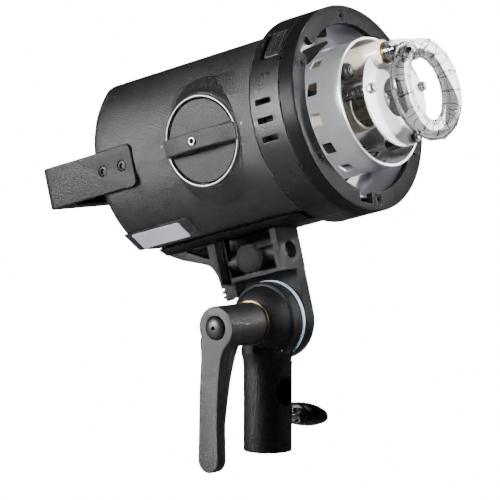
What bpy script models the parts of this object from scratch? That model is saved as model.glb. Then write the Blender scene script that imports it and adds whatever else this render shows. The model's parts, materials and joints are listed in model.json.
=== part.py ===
"""Monolight strobe head on its tilting stand bracket, built as separate pieces.

The origin is the mouth of the stand socket, +Z runs up the stand stud and the lamp faces -Y.
Everything above the tilt axis hangs from the HEAD empty, tilted nose up. In the HEAD frame the
origin is the centre of the front ring's face, x is to the right as seen from behind, y runs
backwards along the lamp's axis and z is up. All sizes below are millimetres.
"""

from math import cos, exp, log, pi, radians, sin, sqrt

import bmesh
import bpy
from mathutils import Matrix, Vector

MM = 0.001

# Stand bracket
SOCKET_R = 15.5
STUD_R = 8.15
SOCKET_DEPTH = 45.0
CROSS_Z = 39.0
WING_Z = 19.0
TILT_Z = 83.5
DISC_R = 24.6
BOLT_R = 5.0
HUB_R = 13.6
LEVER_X = -53.6

# Head
TILT_DEG = 14.6
HEAD_X = 12.5
RING_Y = 94.8
RING_Z = 116.5
BODY_R = 66.0
FLAT_TOP = 53.5
FLAT_BOTTOM = 55.5
REAR_Y = 166.5
WALL = 3.2
RING_HOLE_R = 54.1
RING_DEPTH = 11.0
COLLAR_BACK = 34.3
SHELL_FRONT = 34.6

# Zoom knob and its rack
KNOB_Y = 75.5
KNOB_Z = -1.5
KNOB_R = 26.2
TOOTH_PITCH = pi
PITCH_R = 6.0

# Lamp
BARREL_R = 40.7
BARREL_RIM = -16.0
PLATE_R = 31.5
TUBE_LOOP_R = 26.6
TUBE_R = 6.2

# Handle
HANDLE_X = 67.4
HANDLE_LOW = -16.4
HANDLE_HIGH = 10.0

SEGMENTS = 36


def clear_scene():
    for thing in list(bpy.data.objects):
        bpy.data.objects.remove(thing, do_unlink=True)


def material(name, color, roughness, metallic=0.0, alpha=1.0):
    made = bpy.data.materials.new(name)
    made.use_nodes = True
    shader = made.node_tree.nodes["Principled BSDF"]
    shader.inputs["Base Color"].default_value = (*color, 1.0)
    shader.inputs["Roughness"].default_value = roughness
    shader.inputs["Metallic"].default_value = metallic
    shader.inputs["Alpha"].default_value = alpha
    made.diffuse_color = (*color, alpha)
    return made


def empty(name, location, rotation=(0, 0, 0), parent=None):
    made = bpy.data.objects.new(name, None)
    bpy.context.scene.collection.objects.link(made)
    made.location = [v * MM for v in location]
    made.rotation_euler = rotation
    made.parent = parent
    return made


def to_object(name, mesh_data, mat=None, parent=None, origin=(0, 0, 0), helper=False):
    """One object from a bmesh in millimetres; its origin goes to the point given."""
    bmesh.ops.remove_doubles(mesh_data, verts=mesh_data.verts, dist=1e-4)
    bmesh.ops.recalc_face_normals(mesh_data, faces=mesh_data.faces)
    for vert in mesh_data.verts:
        vert.co = (vert.co - Vector(origin)) * MM
    mesh = bpy.data.meshes.new(name)
    mesh_data.to_mesh(mesh)
    mesh_data.free()
    made = bpy.data.objects.new(name, mesh)
    bpy.context.scene.collection.objects.link(made)
    made.location = Vector(origin) * MM
    made.parent = parent
    if mat:
        mesh.materials.append(mat)
    if helper:
        made.hide_render = True
        made.display_type = "WIRE"
    return made


def turned(axis):
    """Matrix that takes a lathe about +Z to one about the axis given."""
    if axis == "X":
        return Matrix(((0, 0, 1), (1, 0, 0), (0, 1, 0)))
    if axis == "Y":
        return Matrix(((0, 1, 0), (0, 0, 1), (1, 0, 0)))
    return Matrix.Identity(3)


def lathe(profile, axis="Z", at=(0, 0, 0), segments=SEGMENTS, phase=0.0):
    """A closed profile of (radius, distance along the axis) turned about the axis."""
    made = bmesh.new()
    spin = turned(axis)
    rows = []
    for radius, along in profile:
        if radius < 1e-6:
            vert = made.verts.new(spin @ Vector((0, 0, along)) + Vector(at))
            rows.append([vert] * segments)
            continue
        row = []
        for step in range(segments):
            angle = 2 * pi * step / segments + phase
            point = Vector((radius * cos(angle), radius * sin(angle), along))
            row.append(made.verts.new(spin @ point + Vector(at)))
        rows.append(row)
    for index, row in enumerate(rows):
        after = rows[(index + 1) % len(rows)]
        here, there = profile[index], profile[(index + 1) % len(rows)]
        poles = (here[0] < 1e-6) + (there[0] < 1e-6)
        if poles == 2:
            continue
        if poles == 1 and abs(here[1] - there[1]) < 1e-6:
            made.faces.new(after if here[0] < 1e-6 else row)
            continue
        for step in range(segments):
            ahead = (step + 1) % segments
            corners = [row[step], row[ahead], after[ahead], after[step]]
            face = []
            for corner in corners:
                if corner not in face:
                    face.append(corner)
            made.faces.new(face)
    for vert in [v for v in made.verts if not v.link_faces]:
        made.verts.remove(vert)
    return made


def disc(radius, low, high, axis="Z", at=(0, 0, 0), segments=SEGMENTS, chamfer=0.0, phase=0.0):
    """A solid cylinder between two distances along its axis, with chamfered rims if asked."""
    if chamfer:
        profile = [(0, low), (radius - chamfer, low), (radius, low + chamfer)]
        profile += [(radius, high - chamfer), (radius - chamfer, high), (0, high)]
    else:
        profile = [(0, low), (radius, low), (radius, high), (0, high)]
    return lathe(profile, axis, at, segments, phase)


def ring(inner, outer, low, high, axis="Z", at=(0, 0, 0), segments=SEGMENTS, chamfer=0.0):
    """A flat ring, its outer rims chamfered if asked."""
    if chamfer:
        profile = [(inner, low), (outer - chamfer, low), (outer, low + chamfer)]
        profile += [(outer, high - chamfer), (outer - chamfer, high), (inner, high)]
    else:
        profile = [(inner, low), (outer, low), (outer, high), (inner, high)]
    return lathe(profile, axis, at, segments)


def prism(outline, axis, low, high):
    """An outline in the plane across the axis, pushed from one distance to another.

    Its points are (y, z) for X, (x, z) for Y and (x, y) for Z.
    """
    made = bmesh.new()

    def place(point, along):
        if axis == "X":
            return (along, point[0], point[1])
        if axis == "Y":
            return (point[0], along, point[1])
        return (point[0], point[1], along)

    first = [made.verts.new(place(point, low)) for point in outline]
    last = [made.verts.new(place(point, high)) for point in outline]
    made.faces.new(first)
    made.faces.new(last)
    for index in range(len(outline)):
        ahead = (index + 1) % len(outline)
        made.faces.new([first[index], first[ahead], last[ahead], last[index]])
    return made


def box(x, y, z):
    """A block from its three (low, high) pairs."""
    return prism([(x[0], y[0]), (x[1], y[0]), (x[1], y[1]), (x[0], y[1])], "Z", z[0], z[1])


def arc(centre, radius, start, stop, steps):
    """Points on an arc in degrees, both ends included."""
    points = []
    for step in range(steps + 1):
        angle = radians(start + (stop - start) * step / steps)
        points.append((centre[0] + radius * cos(angle), centre[1] + radius * sin(angle)))
    return points


def rounded(width, height, radius, centre=(0, 0), steps=3):
    """A rectangle outline with rounded corners."""
    points = []
    for sign_x, sign_y, start in ((1, 1, 0), (-1, 1, 90), (-1, -1, 180), (1, -1, 270)):
        middle = (
            centre[0] + sign_x * (width / 2 - radius),
            centre[1] + sign_y * (height / 2 - radius),
        )
        points += arc(middle, radius, start, start + 90, steps)
    return points


def sweep(path, radius, sides):
    """A round bar along a path of points, its ends closed."""
    made = bmesh.new()
    rows = []
    points = [Vector(point) for point in path]
    side = None
    for index, point in enumerate(points):
        before = points[max(index - 1, 0)]
        after = points[min(index + 1, len(points) - 1)]
        ahead = (after - before).normalized()
        if side is None:
            side = ahead.orthogonal().normalized()
        side = (side - ahead * side.dot(ahead)).normalized()
        up = ahead.cross(side)
        row = []
        for step in range(sides):
            angle = 2 * pi * step / sides
            row.append(made.verts.new(point + radius * (cos(angle) * side + sin(angle) * up)))
        rows.append(row)
    made.faces.new(rows[0])
    made.faces.new(rows[-1])
    for row, after in zip(rows, rows[1:]):
        for step in range(sides):
            ahead = (step + 1) % sides
            made.faces.new([row[step], row[ahead], after[ahead], after[step]])
    return made


def rotate(made, degrees, axis, centre=(0, 0, 0)):
    """Turns a bmesh about a point."""
    bmesh.ops.rotate(
        made,
        verts=made.verts,
        cent=Vector(centre),
        matrix=Matrix.Rotation(radians(degrees), 3, axis),
    )
    return made


def bevel(thing, width, segments=2, angle=30):
    """Rounded edges, in millimetres."""
    modifier = thing.modifiers.new("edges", "BEVEL")
    modifier.width = width * MM
    modifier.segments = segments
    modifier.limit_method = "ANGLE"
    modifier.angle_limit = radians(angle)
    modifier.use_clamp_overlap = True


class Builder:
    """Adds cutters and joined shapes to one object as exact Booleans."""

    def __init__(self, thing):
        self.thing = thing
        self.count = 0

    def _boolean(self, shape, operation, round_by=0.0):
        self.count += 1
        name = f"{self.thing.name}_tool_{self.count:02d}"
        tool = to_object(name, shape, parent=self.thing.parent, helper=True)
        if round_by:
            bevel(tool, round_by, 1)
        modifier = self.thing.modifiers.new(name, "BOOLEAN")
        modifier.operation = operation
        modifier.solver = "EXACT"
        modifier.object = tool
        return self

    def cut(self, shape, round_by=0.0):
        return self._boolean(shape, "DIFFERENCE", round_by)

    def join(self, shape, round_by=0.0):
        return self._boolean(shape, "UNION", round_by)


def smooth(thing, angle=32):
    """Smooth shading that keeps the sharp edges."""
    for face in thing.data.polygons:
        face.use_smooth = True
    thing.data.set_sharp_from_angle(angle=radians(angle))


def body_section(inset, samples=56):
    """The head's cross-section: a circle cut flat at the top and the bottom."""
    points = []
    soft = 0.7
    for step in range(samples):
        angle = 2 * pi * (step + 0.5) / samples
        radius = BODY_R - inset
        flat = FLAT_TOP - inset if sin(angle) > 0 else FLAT_BOTTOM - inset
        reach = flat / max(abs(sin(angle)), 1e-3)
        if reach > radius + 20:
            mixed = radius
        else:
            mixed = -soft * log(exp((min(radius, reach) - radius) / soft)
                                + exp((min(radius, reach) - reach) / soft))
            mixed += min(radius, reach)
        points.append((mixed * cos(angle), mixed * sin(angle)))
    return points


def skin(stations, closed_loop=True):
    """A body through (distance back, outline) stations; a loop makes a hollow shell."""
    made = bmesh.new()
    rows = [[made.verts.new((x, back, z)) for x, z in outline] for back, outline in stations]
    count = len(rows[0])
    pairs = list(zip(rows, rows[1:]))
    if closed_loop:
        pairs.append((rows[-1], rows[0]))
    else:
        made.faces.new(rows[0])
        made.faces.new(rows[-1])
    for row, after in pairs:
        for step in range(count):
            ahead = (step + 1) % count
            made.faces.new([row[step], row[ahead], after[ahead], after[step]])
    return made


def hex_socket_screw(name, mat, parent, at, axis, radius, low, high, outward, depth=1.5):
    """A screw head with a hexagon socket. outward is +1 or -1 along the axis."""
    thing = to_object(name, disc(radius, low, high, axis, at, 12), mat, parent, at)
    inner = radius * 0.5
    if outward > 0:
        socket = disc(inner, high - depth, high + 1, axis, at, 6)
    else:
        socket = disc(inner, low - 1, low + depth, axis, at, 6)
    Builder(thing).cut(socket)
    return thing


clear_scene()

BLACK = material("matte_black_casting", (0.022, 0.023, 0.025), 0.55)
SATIN = material("satin_black_ring", (0.035, 0.036, 0.039), 0.38, 0.3)
GREY_FACE = material("textured_dark_grey", (0.085, 0.087, 0.092), 0.6)
RUBBER = material("black_rubber", (0.018, 0.018, 0.018), 0.85)
CHROME = material("chrome_screw", (0.75, 0.76, 0.78), 0.12, 1.0)
STEEL = material("dark_steel_screw", (0.10, 0.10, 0.105), 0.35, 0.9)
SILVER = material("satin_silver", (0.62, 0.63, 0.65), 0.28, 1.0)
BRASS = material("brass", (0.62, 0.43, 0.2), 0.3, 1.0)
NYLON = material("pale_blue_nylon", (0.55, 0.68, 0.78), 0.45)
CERAMIC = material("cream_ceramic", (0.80, 0.73, 0.63), 0.4)
WHITE = material("white_enamel", (0.85, 0.86, 0.88), 0.35)
GLASS = material("clear_glass", (0.93, 0.95, 0.96), 0.03, 0.0, 0.3)
LABEL = material("blank_label", (0.52, 0.54, 0.57), 0.4, 0.2)
BOARD = material("circuit_board", (0.02, 0.12, 0.06), 0.5)
SLEEVE = material("capacitor_sleeve", (0.02, 0.03, 0.06), 0.4)
SCREEN = material("display_screen", (0.03, 0.05, 0.07), 0.12)
ORANGE = material("orange_button", (0.75, 0.22, 0.03), 0.5)

# ---------------------------------------------------------------- stand bracket

socket = to_object(
    "stand_socket",
    lathe([
        (STUD_R, 0), (SOCKET_R - 1.0, 0), (SOCKET_R, 1.0), (SOCKET_R, 58.0),
        (15.6, 66), (16.0, 74), (0, 76),
        (0, SOCKET_DEPTH + 0.5), (STUD_R, SOCKET_DEPTH),
    ], segments=32),
    BLACK,
)
dome_profile = [
    (0, -16.5), (14.0, -16.5), (15.6, -15.7), (18.8, -13.0), (21.6, -9.2), (23.6, -4.6),
    (DISC_R, -1.0), (DISC_R, 4.3), (DISC_R - 0.6, 4.9), (0, 4.9),
]
socket_work = Builder(socket)
socket_work.join(lathe(dome_profile, "X", (0, 0, TILT_Z), 36))
socket_work.cut(box((4.9, 30), (-30, 30), (57.2, 110)))
socket_work.cut(disc(BOLT_R + 0.1, -30, 20, "X", (0, 0, TILT_Z), 20))
socket_work.cut(disc(8.7, -20, 0, "Y", (0, 0, CROSS_Z), 20))
socket_work.cut(disc(3.1, 4, 20, "X", (0, 0, WING_Z), 12))

wing_screw = to_object(
    "wing_screw",
    lathe([(0, 8.7), (2.4, 8.7), (3.0, 9.5), (3.0, 27.0), (5.2, 27.0), (5.2, 31.3), (0, 31.3)],
          "X", (0, 0, WING_Z), 12),
    CHROME, origin=(8.7, 0, WING_Z),
)
wing_half = [(0, 7.6), (6, 7.3), (12, 6.0), (18, 3.9), (20.3, 1.8), (20.3, -1.8),
             (18, -3.9), (12, -6.0), (6, -7.3), (0, -7.6)]
wing_outline = [(y, z + WING_Z) for y, z in wing_half]
wing_outline += [(-y, z + WING_Z) for y, z in reversed(wing_half[1:-1])]
wing_knob = to_object("wing_knob", prism(wing_outline, "X", 32.6, 41.6), RUBBER,
                      origin=(31.6, 0, WING_Z))
bevel(wing_knob, 1.3, 1)
Builder(wing_knob).join(disc(7.0, 31.6, 43.2, "X", (0, 0, WING_Z), 16, 0.8))

to_object("brass_washer", ring(BOLT_R + 0.3, 14.3, -18.0, -16.8, "X", (0, 0, TILT_Z), 28),
          BRASS, origin=(-17.4, 0, TILT_Z))
to_object("friction_washer", ring(BOLT_R + 0.3, 24.9, 5.2, 6.4, "X", (0, 0, TILT_Z), 32),
          NYLON, origin=(5.8, 0, TILT_Z))
bolt = to_object(
    "tilt_bolt",
    lathe([(0, -44), (BOLT_R - 0.8, -44), (BOLT_R, -43.2), (BOLT_R, 16.4), (9.2, 16.4),
           (9.2, 21.0), (8.2, 22.0), (0, 22.0)], "X", (0, 0, TILT_Z), 20),
    STEEL, origin=(0, 0, TILT_Z),
)
Builder(bolt).cut(disc(4.2, 18.5, 24, "X", (0, 0, TILT_Z), 6))

lever_outline = [(14.5, 0.0), (14.1, 15.0), (13.8, 30.0), (13.2, 50.0), (12.4, 64.0), (13.2, 75.0)]
lever_outline += [(y, z + TILT_Z) for y, z in arc((0, 0), HUB_R, -20, 200, 10)]
lever_outline += [(-9.0, 73.0), (-5.4, 68.5), (-3.2, 58.0), (-1.9, 44.0), (-1.5, 30.0),
                  (-1.6, 14.0), (-1.9, 0.0)]
lever_outline += arc((6.3, -0.4), 8.2, 190, 350, 8)
lever = to_object("tilt_lever", prism(lever_outline, "X", LEVER_X, -45.0), BLACK,
                  origin=(LEVER_X, 0, TILT_Z))
bevel(lever, 1.1, 1, 40)
lever_work = Builder(lever)
hub = [(0, -50.0), (13.2, -50.0), (HUB_R - 0.1, -49.6), (HUB_R - 0.1, -18.9), (12.9, -18.3),
       (BOLT_R + 0.3, -18.3), (BOLT_R + 0.3, -44.6), (0, -44.6)]
lever_work.join(lathe(hub, "X", (0, 0, TILT_Z), 30))
web = [(-46.0, 76), (-29.0, 76), (-34.5, 66), (-39.0, 54), (-42.5, 40), (-44.6, 24), (-46.0, 20)]
lever_work.join(prism(web, "Y", -1.2, 11.5), 0.9)
lever_work.cut(disc(7.7, -60, -50.4, "X", (0, 0, TILT_Z), 20))

cap_profile = [(0, -50.7), (7.3, -50.7), (7.3, -53.6), (6.2, -55.0), (3.6, -56.0), (0, -56.3)]
cap = to_object("lever_cap", lathe(cap_profile, "X", (0, 0, TILT_Z), 18), RUBBER,
                origin=(-50.7, 0, TILT_Z))
Builder(cap).cut(disc(1.3, -60, -53.5, "X", (0, 0, TILT_Z), 8))

# ---------------------------------------------------------------- head frame

pivot = empty("tilt_axis", (0, 0, TILT_Z), (radians(-TILT_DEG), 0, 0))
HEAD = empty("head_frame", (HEAD_X, -RING_Y, RING_Z), parent=pivot)
AXIS_Y, AXIS_Z = RING_Y, -RING_Z  # the tilt axis in the head frame

# ---------------------------------------------------------------- bracket under the head

NEAR, FAR = -20.0, 3.6
plate = to_object("tilt_bracket", box((-27, 27), (41, 165), (-58.8, -55.8)), BLACK, HEAD,
                  (0, AXIS_Y, AXIS_Z))
bevel(plate, 0.8, 1)
ear = [(69.3, -84)] + arc((AXIS_Y, AXIS_Z), 25.5, 180, 360, 16) + [(120.3, -84)]
gusset = [(163.6, -56.6), (163.6, -60.4), (126.2, -74.4), (122.8, -79.4), (121.0, -87.0),
          (120.7, -98.6), (117.4, -100.2), (115.4, -88.5), (114.0, -56.6)]
tube_x, tube_z = -8.1, -75.7
work = Builder(plate)
work.join(box((NEAR, FAR), (69.0, 120.6), (-88.2, -57)), 0.7)
work.cut(box((NEAR - 10, -0.3), (73.7, 115.7), (-85.7, -59.4)))
work.join(prism(gusset, "X", NEAR - 0.2, NEAR + 3.8), 0.5)
work.join(prism(gusset[:5] + gusset[-2:], "X", FAR - 4.0, FAR - 0.2), 0.5)
work.join(prism(ear, "X", -5.8, FAR - 0.15), 0.7)
work.join(box((NEAR + 0.6, -4.0), (114.6, 117.6), (-99.4, -86.0)))
work.cut(prism([(144, -60.9), (125.0, -60.9), (125.0, -70.4)], "X", NEAR - 5, FAR + 5), 0.8)
work.join(disc(5.9, 72, 117, "Y", (tube_x, 0, tube_z), 16))
work.cut(disc(4.3, 60, 130, "Y", (tube_x, 0, tube_z), 16))
work.cut(disc(5.6, 60, 76, "Y", (tube_x, 0, tube_z), 20))
work.cut(disc(2.3, -26, tube_x, "X", (0, 95.5, tube_z), 12))
work.cut(disc(BOLT_R + 0.3, -20, 10, "X", (0, AXIS_Y, AXIS_Z), 24))
for notch in range(3):
    low = -90.0 - 3.4 * notch
    work.cut(box((NEAR - 3, NEAR + 6), (119.2, 124), (low - 1.5, low)))

umbrella = to_object(
    "umbrella_screw",
    lathe([(0, -22.0), (8.2, -22.0), (9.4, -20.8), (9.4, -15.8), (8.4, -14.9), (2.0, -14.9),
           (2.0, -12.6), (0, -12.6)], "X", (0, 95.5, tube_z), 18),
    RUBBER, HEAD, (-14.9, 95.5, tube_z),
)
work = Builder(umbrella)
for step in range(6):
    angle = 2 * pi * (step + 0.5) / 6
    spot = (0, 95.5 + 11.0 * cos(angle), tube_z + 11.0 * sin(angle))
    work.cut(disc(2.6, -30, -12, "X", spot, 7))

# ---------------------------------------------------------------- casing

shell_stations = [
    (SHELL_FRONT, body_section(3.4)), (SHELL_FRONT, body_section(0)),
    (158.0, body_section(0)), (162.4, body_section(1.6)),
    (165.3, body_section(4.4)), (REAR_Y, body_section(8.0)),
    (REAR_Y, body_section(10.2)), (159.8, body_section(10.2)), (157.4, body_section(3.4)),
]
shell = to_object("head_shell", skin(shell_stations), BLACK, HEAD)
work = Builder(shell)
boss = lathe([(0, -54.6), (37.0, -54.6), (32.5, -60.0), (29.6, -65.4), (29.0, -65.8),
              (0, -65.8)], "X", (0, KNOB_Y, KNOB_Z), 40)
work.join(boss)
dial_pocket = [(0, -80), (KNOB_R + 0.8, -80), (KNOB_R + 0.8, -62.6), (4.35, -62.6), (4.35, -40),
               (0, -40)]
work.cut(lathe(dial_pocket, "X", (0, KNOB_Y, KNOB_Z), 40))
HANDLE_MID = (HANDLE_LOW + HANDLE_HIGH) / 2
for side in (-1, 1):
    pocket = rounded(60, HANDLE_HIGH - HANDLE_LOW + 1.4, 4.0, (163.0, HANDLE_MID))
    outer, inner = side * 80, side * 63.5
    work.cut(prism(pocket, "X", min(outer, inner), max(outer, inner)))

collar = to_object(
    "vent_collar",
    lathe([(59.6, 11.5), (65.6, 11.5), (66.0, 11.9), (66.0, COLLAR_BACK), (57.2, COLLAR_BACK),
           (57.2, 31.4), (59.6, 31.4)], "Y", segments=56),
    BLACK, HEAD,
)
work = Builder(collar)
for side in (-1, 1):
    for index in range(3):
        slot = prism(rounded(12.0, 3.7, 0.8, (24.4, 0)), "X", min(55 * side, 75 * side),
                     max(55 * side, 75 * side))
        work.cut(rotate(slot, side * (-9.9 + 10.2 * index) - side * 0.1, "Y"))
catch_angle = -45.5
work.cut(rotate(box((-11.2, 11.2), (13.2, 30.4), (50, 75)), catch_angle, "Y"))

front = to_object(
    "front_ring",
    lathe([(RING_HOLE_R, 0), (65.0, 0), (66.0, 1.0), (66.0, RING_DEPTH), (60.0, RING_DEPTH),
           (59.0, 4.4), (RING_HOLE_R, 4.4)], "Y", segments=60),
    SATIN, HEAD,
)
work = Builder(front)
for index in range(3):
    notch = box((-6.4, 6.4), (-2, 6), (50, 61.4))
    work.cut(rotate(notch, -(47.5 - 120.0 * index), "Y"))
SCREW_R = 58.6
for index in range(6):
    angle = radians(30 + 60 * index)
    spot = (SCREW_R * cos(angle), 0, SCREW_R * sin(angle))
    work.cut(disc(3.35, -1, 2.8, "Y", spot, 12))
for index in range(6):
    angle = radians(30 + 60 * index)
    spot = (SCREW_R * cos(angle), 0, SCREW_R * sin(angle))
    hex_socket_screw(f"ring_screw_{index + 1}", STEEL, HEAD, spot, "Y", 2.9, 0.3, 2.5, -1, 1.4)

liner = to_object(
    "inner_liner",
    lathe([(55.6, 5.2), (56.8, 5.2), (56.8, 31.0), (42.6, 31.0), (42.6, 29.4), (53.8, 29.4),
           (55.6, 27.0)], "Y", segments=48),
    SILVER, HEAD,
)
work = Builder(liner)
work.cut(rotate(box((-4.6, 4.6), (13.6, 27.4), (50, 60)), catch_angle, "Y"))

# ---------------------------------------------------------------- accessory catch

catch_out = arc((0, 0), 66.2, 90 - 9.2, 90 + 9.2, 6)
catch_in = arc((0, 0), 60.2, 90 + 9.2, 90 - 9.2, 6)
slider = to_object(
    "release_slider",
    rotate(prism(catch_out + catch_in, "Y", 13.7, 25.2), catch_angle, "Y"),
    BLACK, HEAD, (0, 20, 0),
)
work = Builder(slider)
for index in range(5):
    groove = box((-12, 12), (15.6 + 2.0 * index, 16.4 + 2.0 * index), (65.2, 70))
    work.cut(rotate(groove, catch_angle, "Y"))
work.join(rotate(box((-3.8, 3.8), (14.6, 21.6), (57.2, 61.0)), catch_angle, "Y"))

pawl_outline = arc((0, 0), 55.0, 90 - 48, 90 + 5, 10) + arc((0, 0), 49.2, 90 + 5, 90 - 48, 10)
pawl = to_object(
    "lock_pawl",
    rotate(prism(pawl_outline, "Y", 14.6, 18.6), catch_angle, "Y"),
    RUBBER, HEAD, (0, 16, 0),
)
bevel(pawl, 0.6, 1)
Builder(pawl).join(rotate(box((-3.8, 3.8), (14.9, 21.4), (53.5, 56.9)), catch_angle, "Y"))

# ---------------------------------------------------------------- lamp carriage

barrel = to_object(
    "reflector_barrel",
    lathe([(39.5, BARREL_RIM), (41.3, BARREL_RIM), (41.3, BARREL_RIM + 1.8),
           (BARREL_R, BARREL_RIM + 1.8), (BARREL_R, 44.0), (39.5, 44.0)], "Y", segments=52),
    SILVER, HEAD,
)
work = Builder(barrel)
for index in range(13):
    hole = box((-46, -35), (1.9, 10.1), (-4.1, 4.1))
    work.cut(rotate(hole, 19.5 - 360.0 * index / 13, "Y"))

LEG_SPOTS = ((-27.0, 5.6), (28.2, 5.6), (10.0, -26.4))
ROD_SPOTS = ((-20.0, -27.0), (25.0, 24.0))
POST_SPOTS = ((-9.6, 26.6), (9.6, 26.6))
carriage = to_object("carriage_plate", disc(39.1, 40.4, 43.4, "Y", segments=36), BLACK, HEAD)
work = Builder(carriage)
for x, z in ROD_SPOTS:
    work.cut(disc(2.56, 30, 50, "Y", (x, 0, z), 12))
work.cut(prism(rounded(20, 7, 2, (16, 14)), "Y", 30, 50))

rod_number = 0
for x, z in ROD_SPOTS:
    rod_number += 1
    to_object(f"guide_rod_{rod_number}", disc(2.5, 28.0, 94.2, "Y", (x, 0, z), 12),
              CHROME, HEAD, (x, 28.0, z))

reflector = to_object("white_reflector", disc(PLATE_R, -28.2, -26.7, "Y", segments=40), WHITE,
                      HEAD)
work = Builder(reflector)
work.cut(disc(12.5, -35, -20, "Y", segments=24))
for x, z in POST_SPOTS:
    work.cut(disc(8.9, -35, -20, "Y", (x, 0, z), 18))
for x, z in LEG_SPOTS:
    work.cut(disc(1.8, -35, -20, "Y", (x, 0, z), 10))
work.cut(disc(2.2, -35, -20, "Y", (18.0, 0, -26.0), 12))

for number, (x, z) in enumerate(LEG_SPOTS, 1):
    leg = to_object(
        f"standoff_{number}",
        lathe([(0, -32.2), (1.5, -32.2), (1.5, -26.4), (2.6, -26.4), (2.6, 40.1), (0, 40.1)], "Y",
              (x, 0, z), 8),
        CHROME, HEAD, (x, 40.1, z),
    )
    Builder(leg).join(disc(3.1, -31.4, -28.5, "Y", (x, 0, z), 6))

for number, (x, z) in enumerate(POST_SPOTS, 1):
    post = to_object(
        f"tube_post_{number}",
        lathe([(0, 40.1), (7.0, 40.1), (7.0, 4.0), (8.4, -6.0), (8.6, -33.6), (7.9, -34.4),
               (6.7, -34.4), (6.7, -26.0), (0, -26.0)], "Y", (x, 0, z), 18),
        CERAMIC, HEAD, (x, 40.1, z),
    )

loop = []
for x, back in ((-9.6, -26.4), (-9.6, -36.0), (-9.6, -42.0)):
    loop.append((x, back, 26.6))
loop.append((-10.2, -47.2, 25.9))
for step in range(23):
    angle = radians(116 + (424 - 116) * step / 22)
    loop.append((TUBE_LOOP_R * cos(angle), -51.2, TUBE_LOOP_R * sin(angle)))
loop.append((10.2, -47.2, 25.9))
for back in (-42.0, -36.0, -26.4):
    loop.append((9.6, back, 26.6))
to_object("flash_tube", sweep(loop, TUBE_R, 10), GLASS, HEAD, (0, -26.4, 26.6))

to_object(
    "lamp_socket",
    lathe([(0, 40.1), (9.0, 40.1), (9.0, 16.0), (15.2, 10.0), (15.2, -4.0), (13.4, -4.0),
           (12.4, 9.0), (0, 9.0)], "Y", (0, 0, 0), 20),
    CERAMIC, HEAD, (0, 40.1, 0),
)
to_object(
    "modelling_lamp",
    lathe([(0, 8.7), (8.6, 8.7), (9.6, 4.0), (9.8, -9.0), (8.8, -14.5), (6.2, -18.6),
           (3.0, -20.6), (0, -21.2)], "Y", (0, 0, 0), 16),
    GLASS, HEAD, (0, 8.7, 0),
)

# ---------------------------------------------------------------- zoom knob, pinion and rack


def tooth(at_tip, at_root):
    """Half thickness of a tooth where it starts and ends."""
    return ((-at_root, 0.0), (-at_tip, 1.0), (at_tip, 1.0), (at_root, 0.0))


GEAR_TIP, GEAR_ROOT = PITCH_R + 0.8, PITCH_R - 1.15
gear = []
for index in range(12):
    middle = radians(-90 + 30 * index)
    for across, up in tooth(0.32, 0.78):
        radius = GEAR_ROOT + (GEAR_TIP - GEAR_ROOT) * up
        angle = middle + across / radius
        gear.append((KNOB_Y + radius * cos(angle), KNOB_Z + radius * sin(angle)))
pinion = to_object("zoom_pinion", prism(gear, "X", -50.4, -43.0), BRASS, HEAD,
                   (-50, KNOB_Y, KNOB_Z))
Builder(pinion).join(disc(4.25, -62.2, -49, "X", (0, KNOB_Y, KNOB_Z), 20))

RACK_PITCH_Z = KNOB_Z - PITCH_R
rack = [(44.0, RACK_PITCH_Z - 5.5), (94.0, RACK_PITCH_Z - 5.5), (94.0, RACK_PITCH_Z - 1.15)]
for index in range(10, -1, -1):
    middle = KNOB_Y + (index - 4.5) * TOOTH_PITCH
    for across, up in reversed(tooth(0.32, 0.78)):
        rack.append((middle + across, RACK_PITCH_Z - 1.15 + 1.95 * up))
rack.append((44.0, RACK_PITCH_Z - 1.15))
rack_thing = to_object("zoom_rack", prism(rack, "X", -50.4, -43.2), BRASS, HEAD,
                       (-46, 44.0, RACK_PITCH_Z))
Builder(rack_thing).join(box((-50.0, -24.0), (44.3, 46.8), (-16.0, RACK_PITCH_Z - 1.4)))

knob = to_object("zoom_knob", disc(KNOB_R, -66.4, -62.9, "X", (0, KNOB_Y, KNOB_Z), 44),
                 GREY_FACE, HEAD, (-62.9, KNOB_Y, KNOB_Z))


def bar_top(along):
    """Height of the finger bar over the dial: an arch, scooped at its front end."""
    height = -76.2 + 5.2 * (along / 28.2) ** 2
    if along < -20.0:
        height += 2.6 * ((-20.0 - along) / 8.2) ** 1.5
    return height


bar = bmesh.new()
rows = []
BAR_STATIONS = (-28.2, -26.0, -23.0, -20.0, -13.0, -6.0, 0.0, 6.0, 13.0, 20.0, 25.0, 28.2)
for along in BAR_STATIONS:
    top = bar_top(along)
    rows.append([
        bar.verts.new((x, KNOB_Y + along, KNOB_Z + z))
        for x, z in ((-67.7, -6.9), (-67.7, 6.8), (top, 6.2), (top, -3.2))
    ])
bar.faces.new(rows[0])
bar.faces.new(rows[-1])
for row, after in zip(rows, rows[1:]):
    for step in range(4):
        ahead = (step + 1) % 4
        bar.faces.new([row[step], row[ahead], after[ahead], after[step]])
work = Builder(knob)
work.join(box((-68.4, -65.0), (KNOB_Y - 25.2, KNOB_Y + 25.2), (KNOB_Z - 6.7, KNOB_Z + 6.7)))
work.join(bar)
work.cut(disc(1.3, -80, -73.5, "X", (0, KNOB_Y, KNOB_Z), 8))

to_object("knob_bezel",
          lathe([(27.3, -66.1), (29.0, -66.1), (29.0, -66.6), (28.4, -67.4), (27.3, -67.4)], "X",
                (0, KNOB_Y, KNOB_Z), 44), SILVER, HEAD, (-66.1, KNOB_Y, KNOB_Z))
to_object("knob_screw", ring(1.35, 2.7, -77.1, -76.5, "X", (0, KNOB_Y, KNOB_Z), 12), CHROME,
          HEAD, (-76.5, KNOB_Y, KNOB_Z))

# ---------------------------------------------------------------- handle and label

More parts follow.
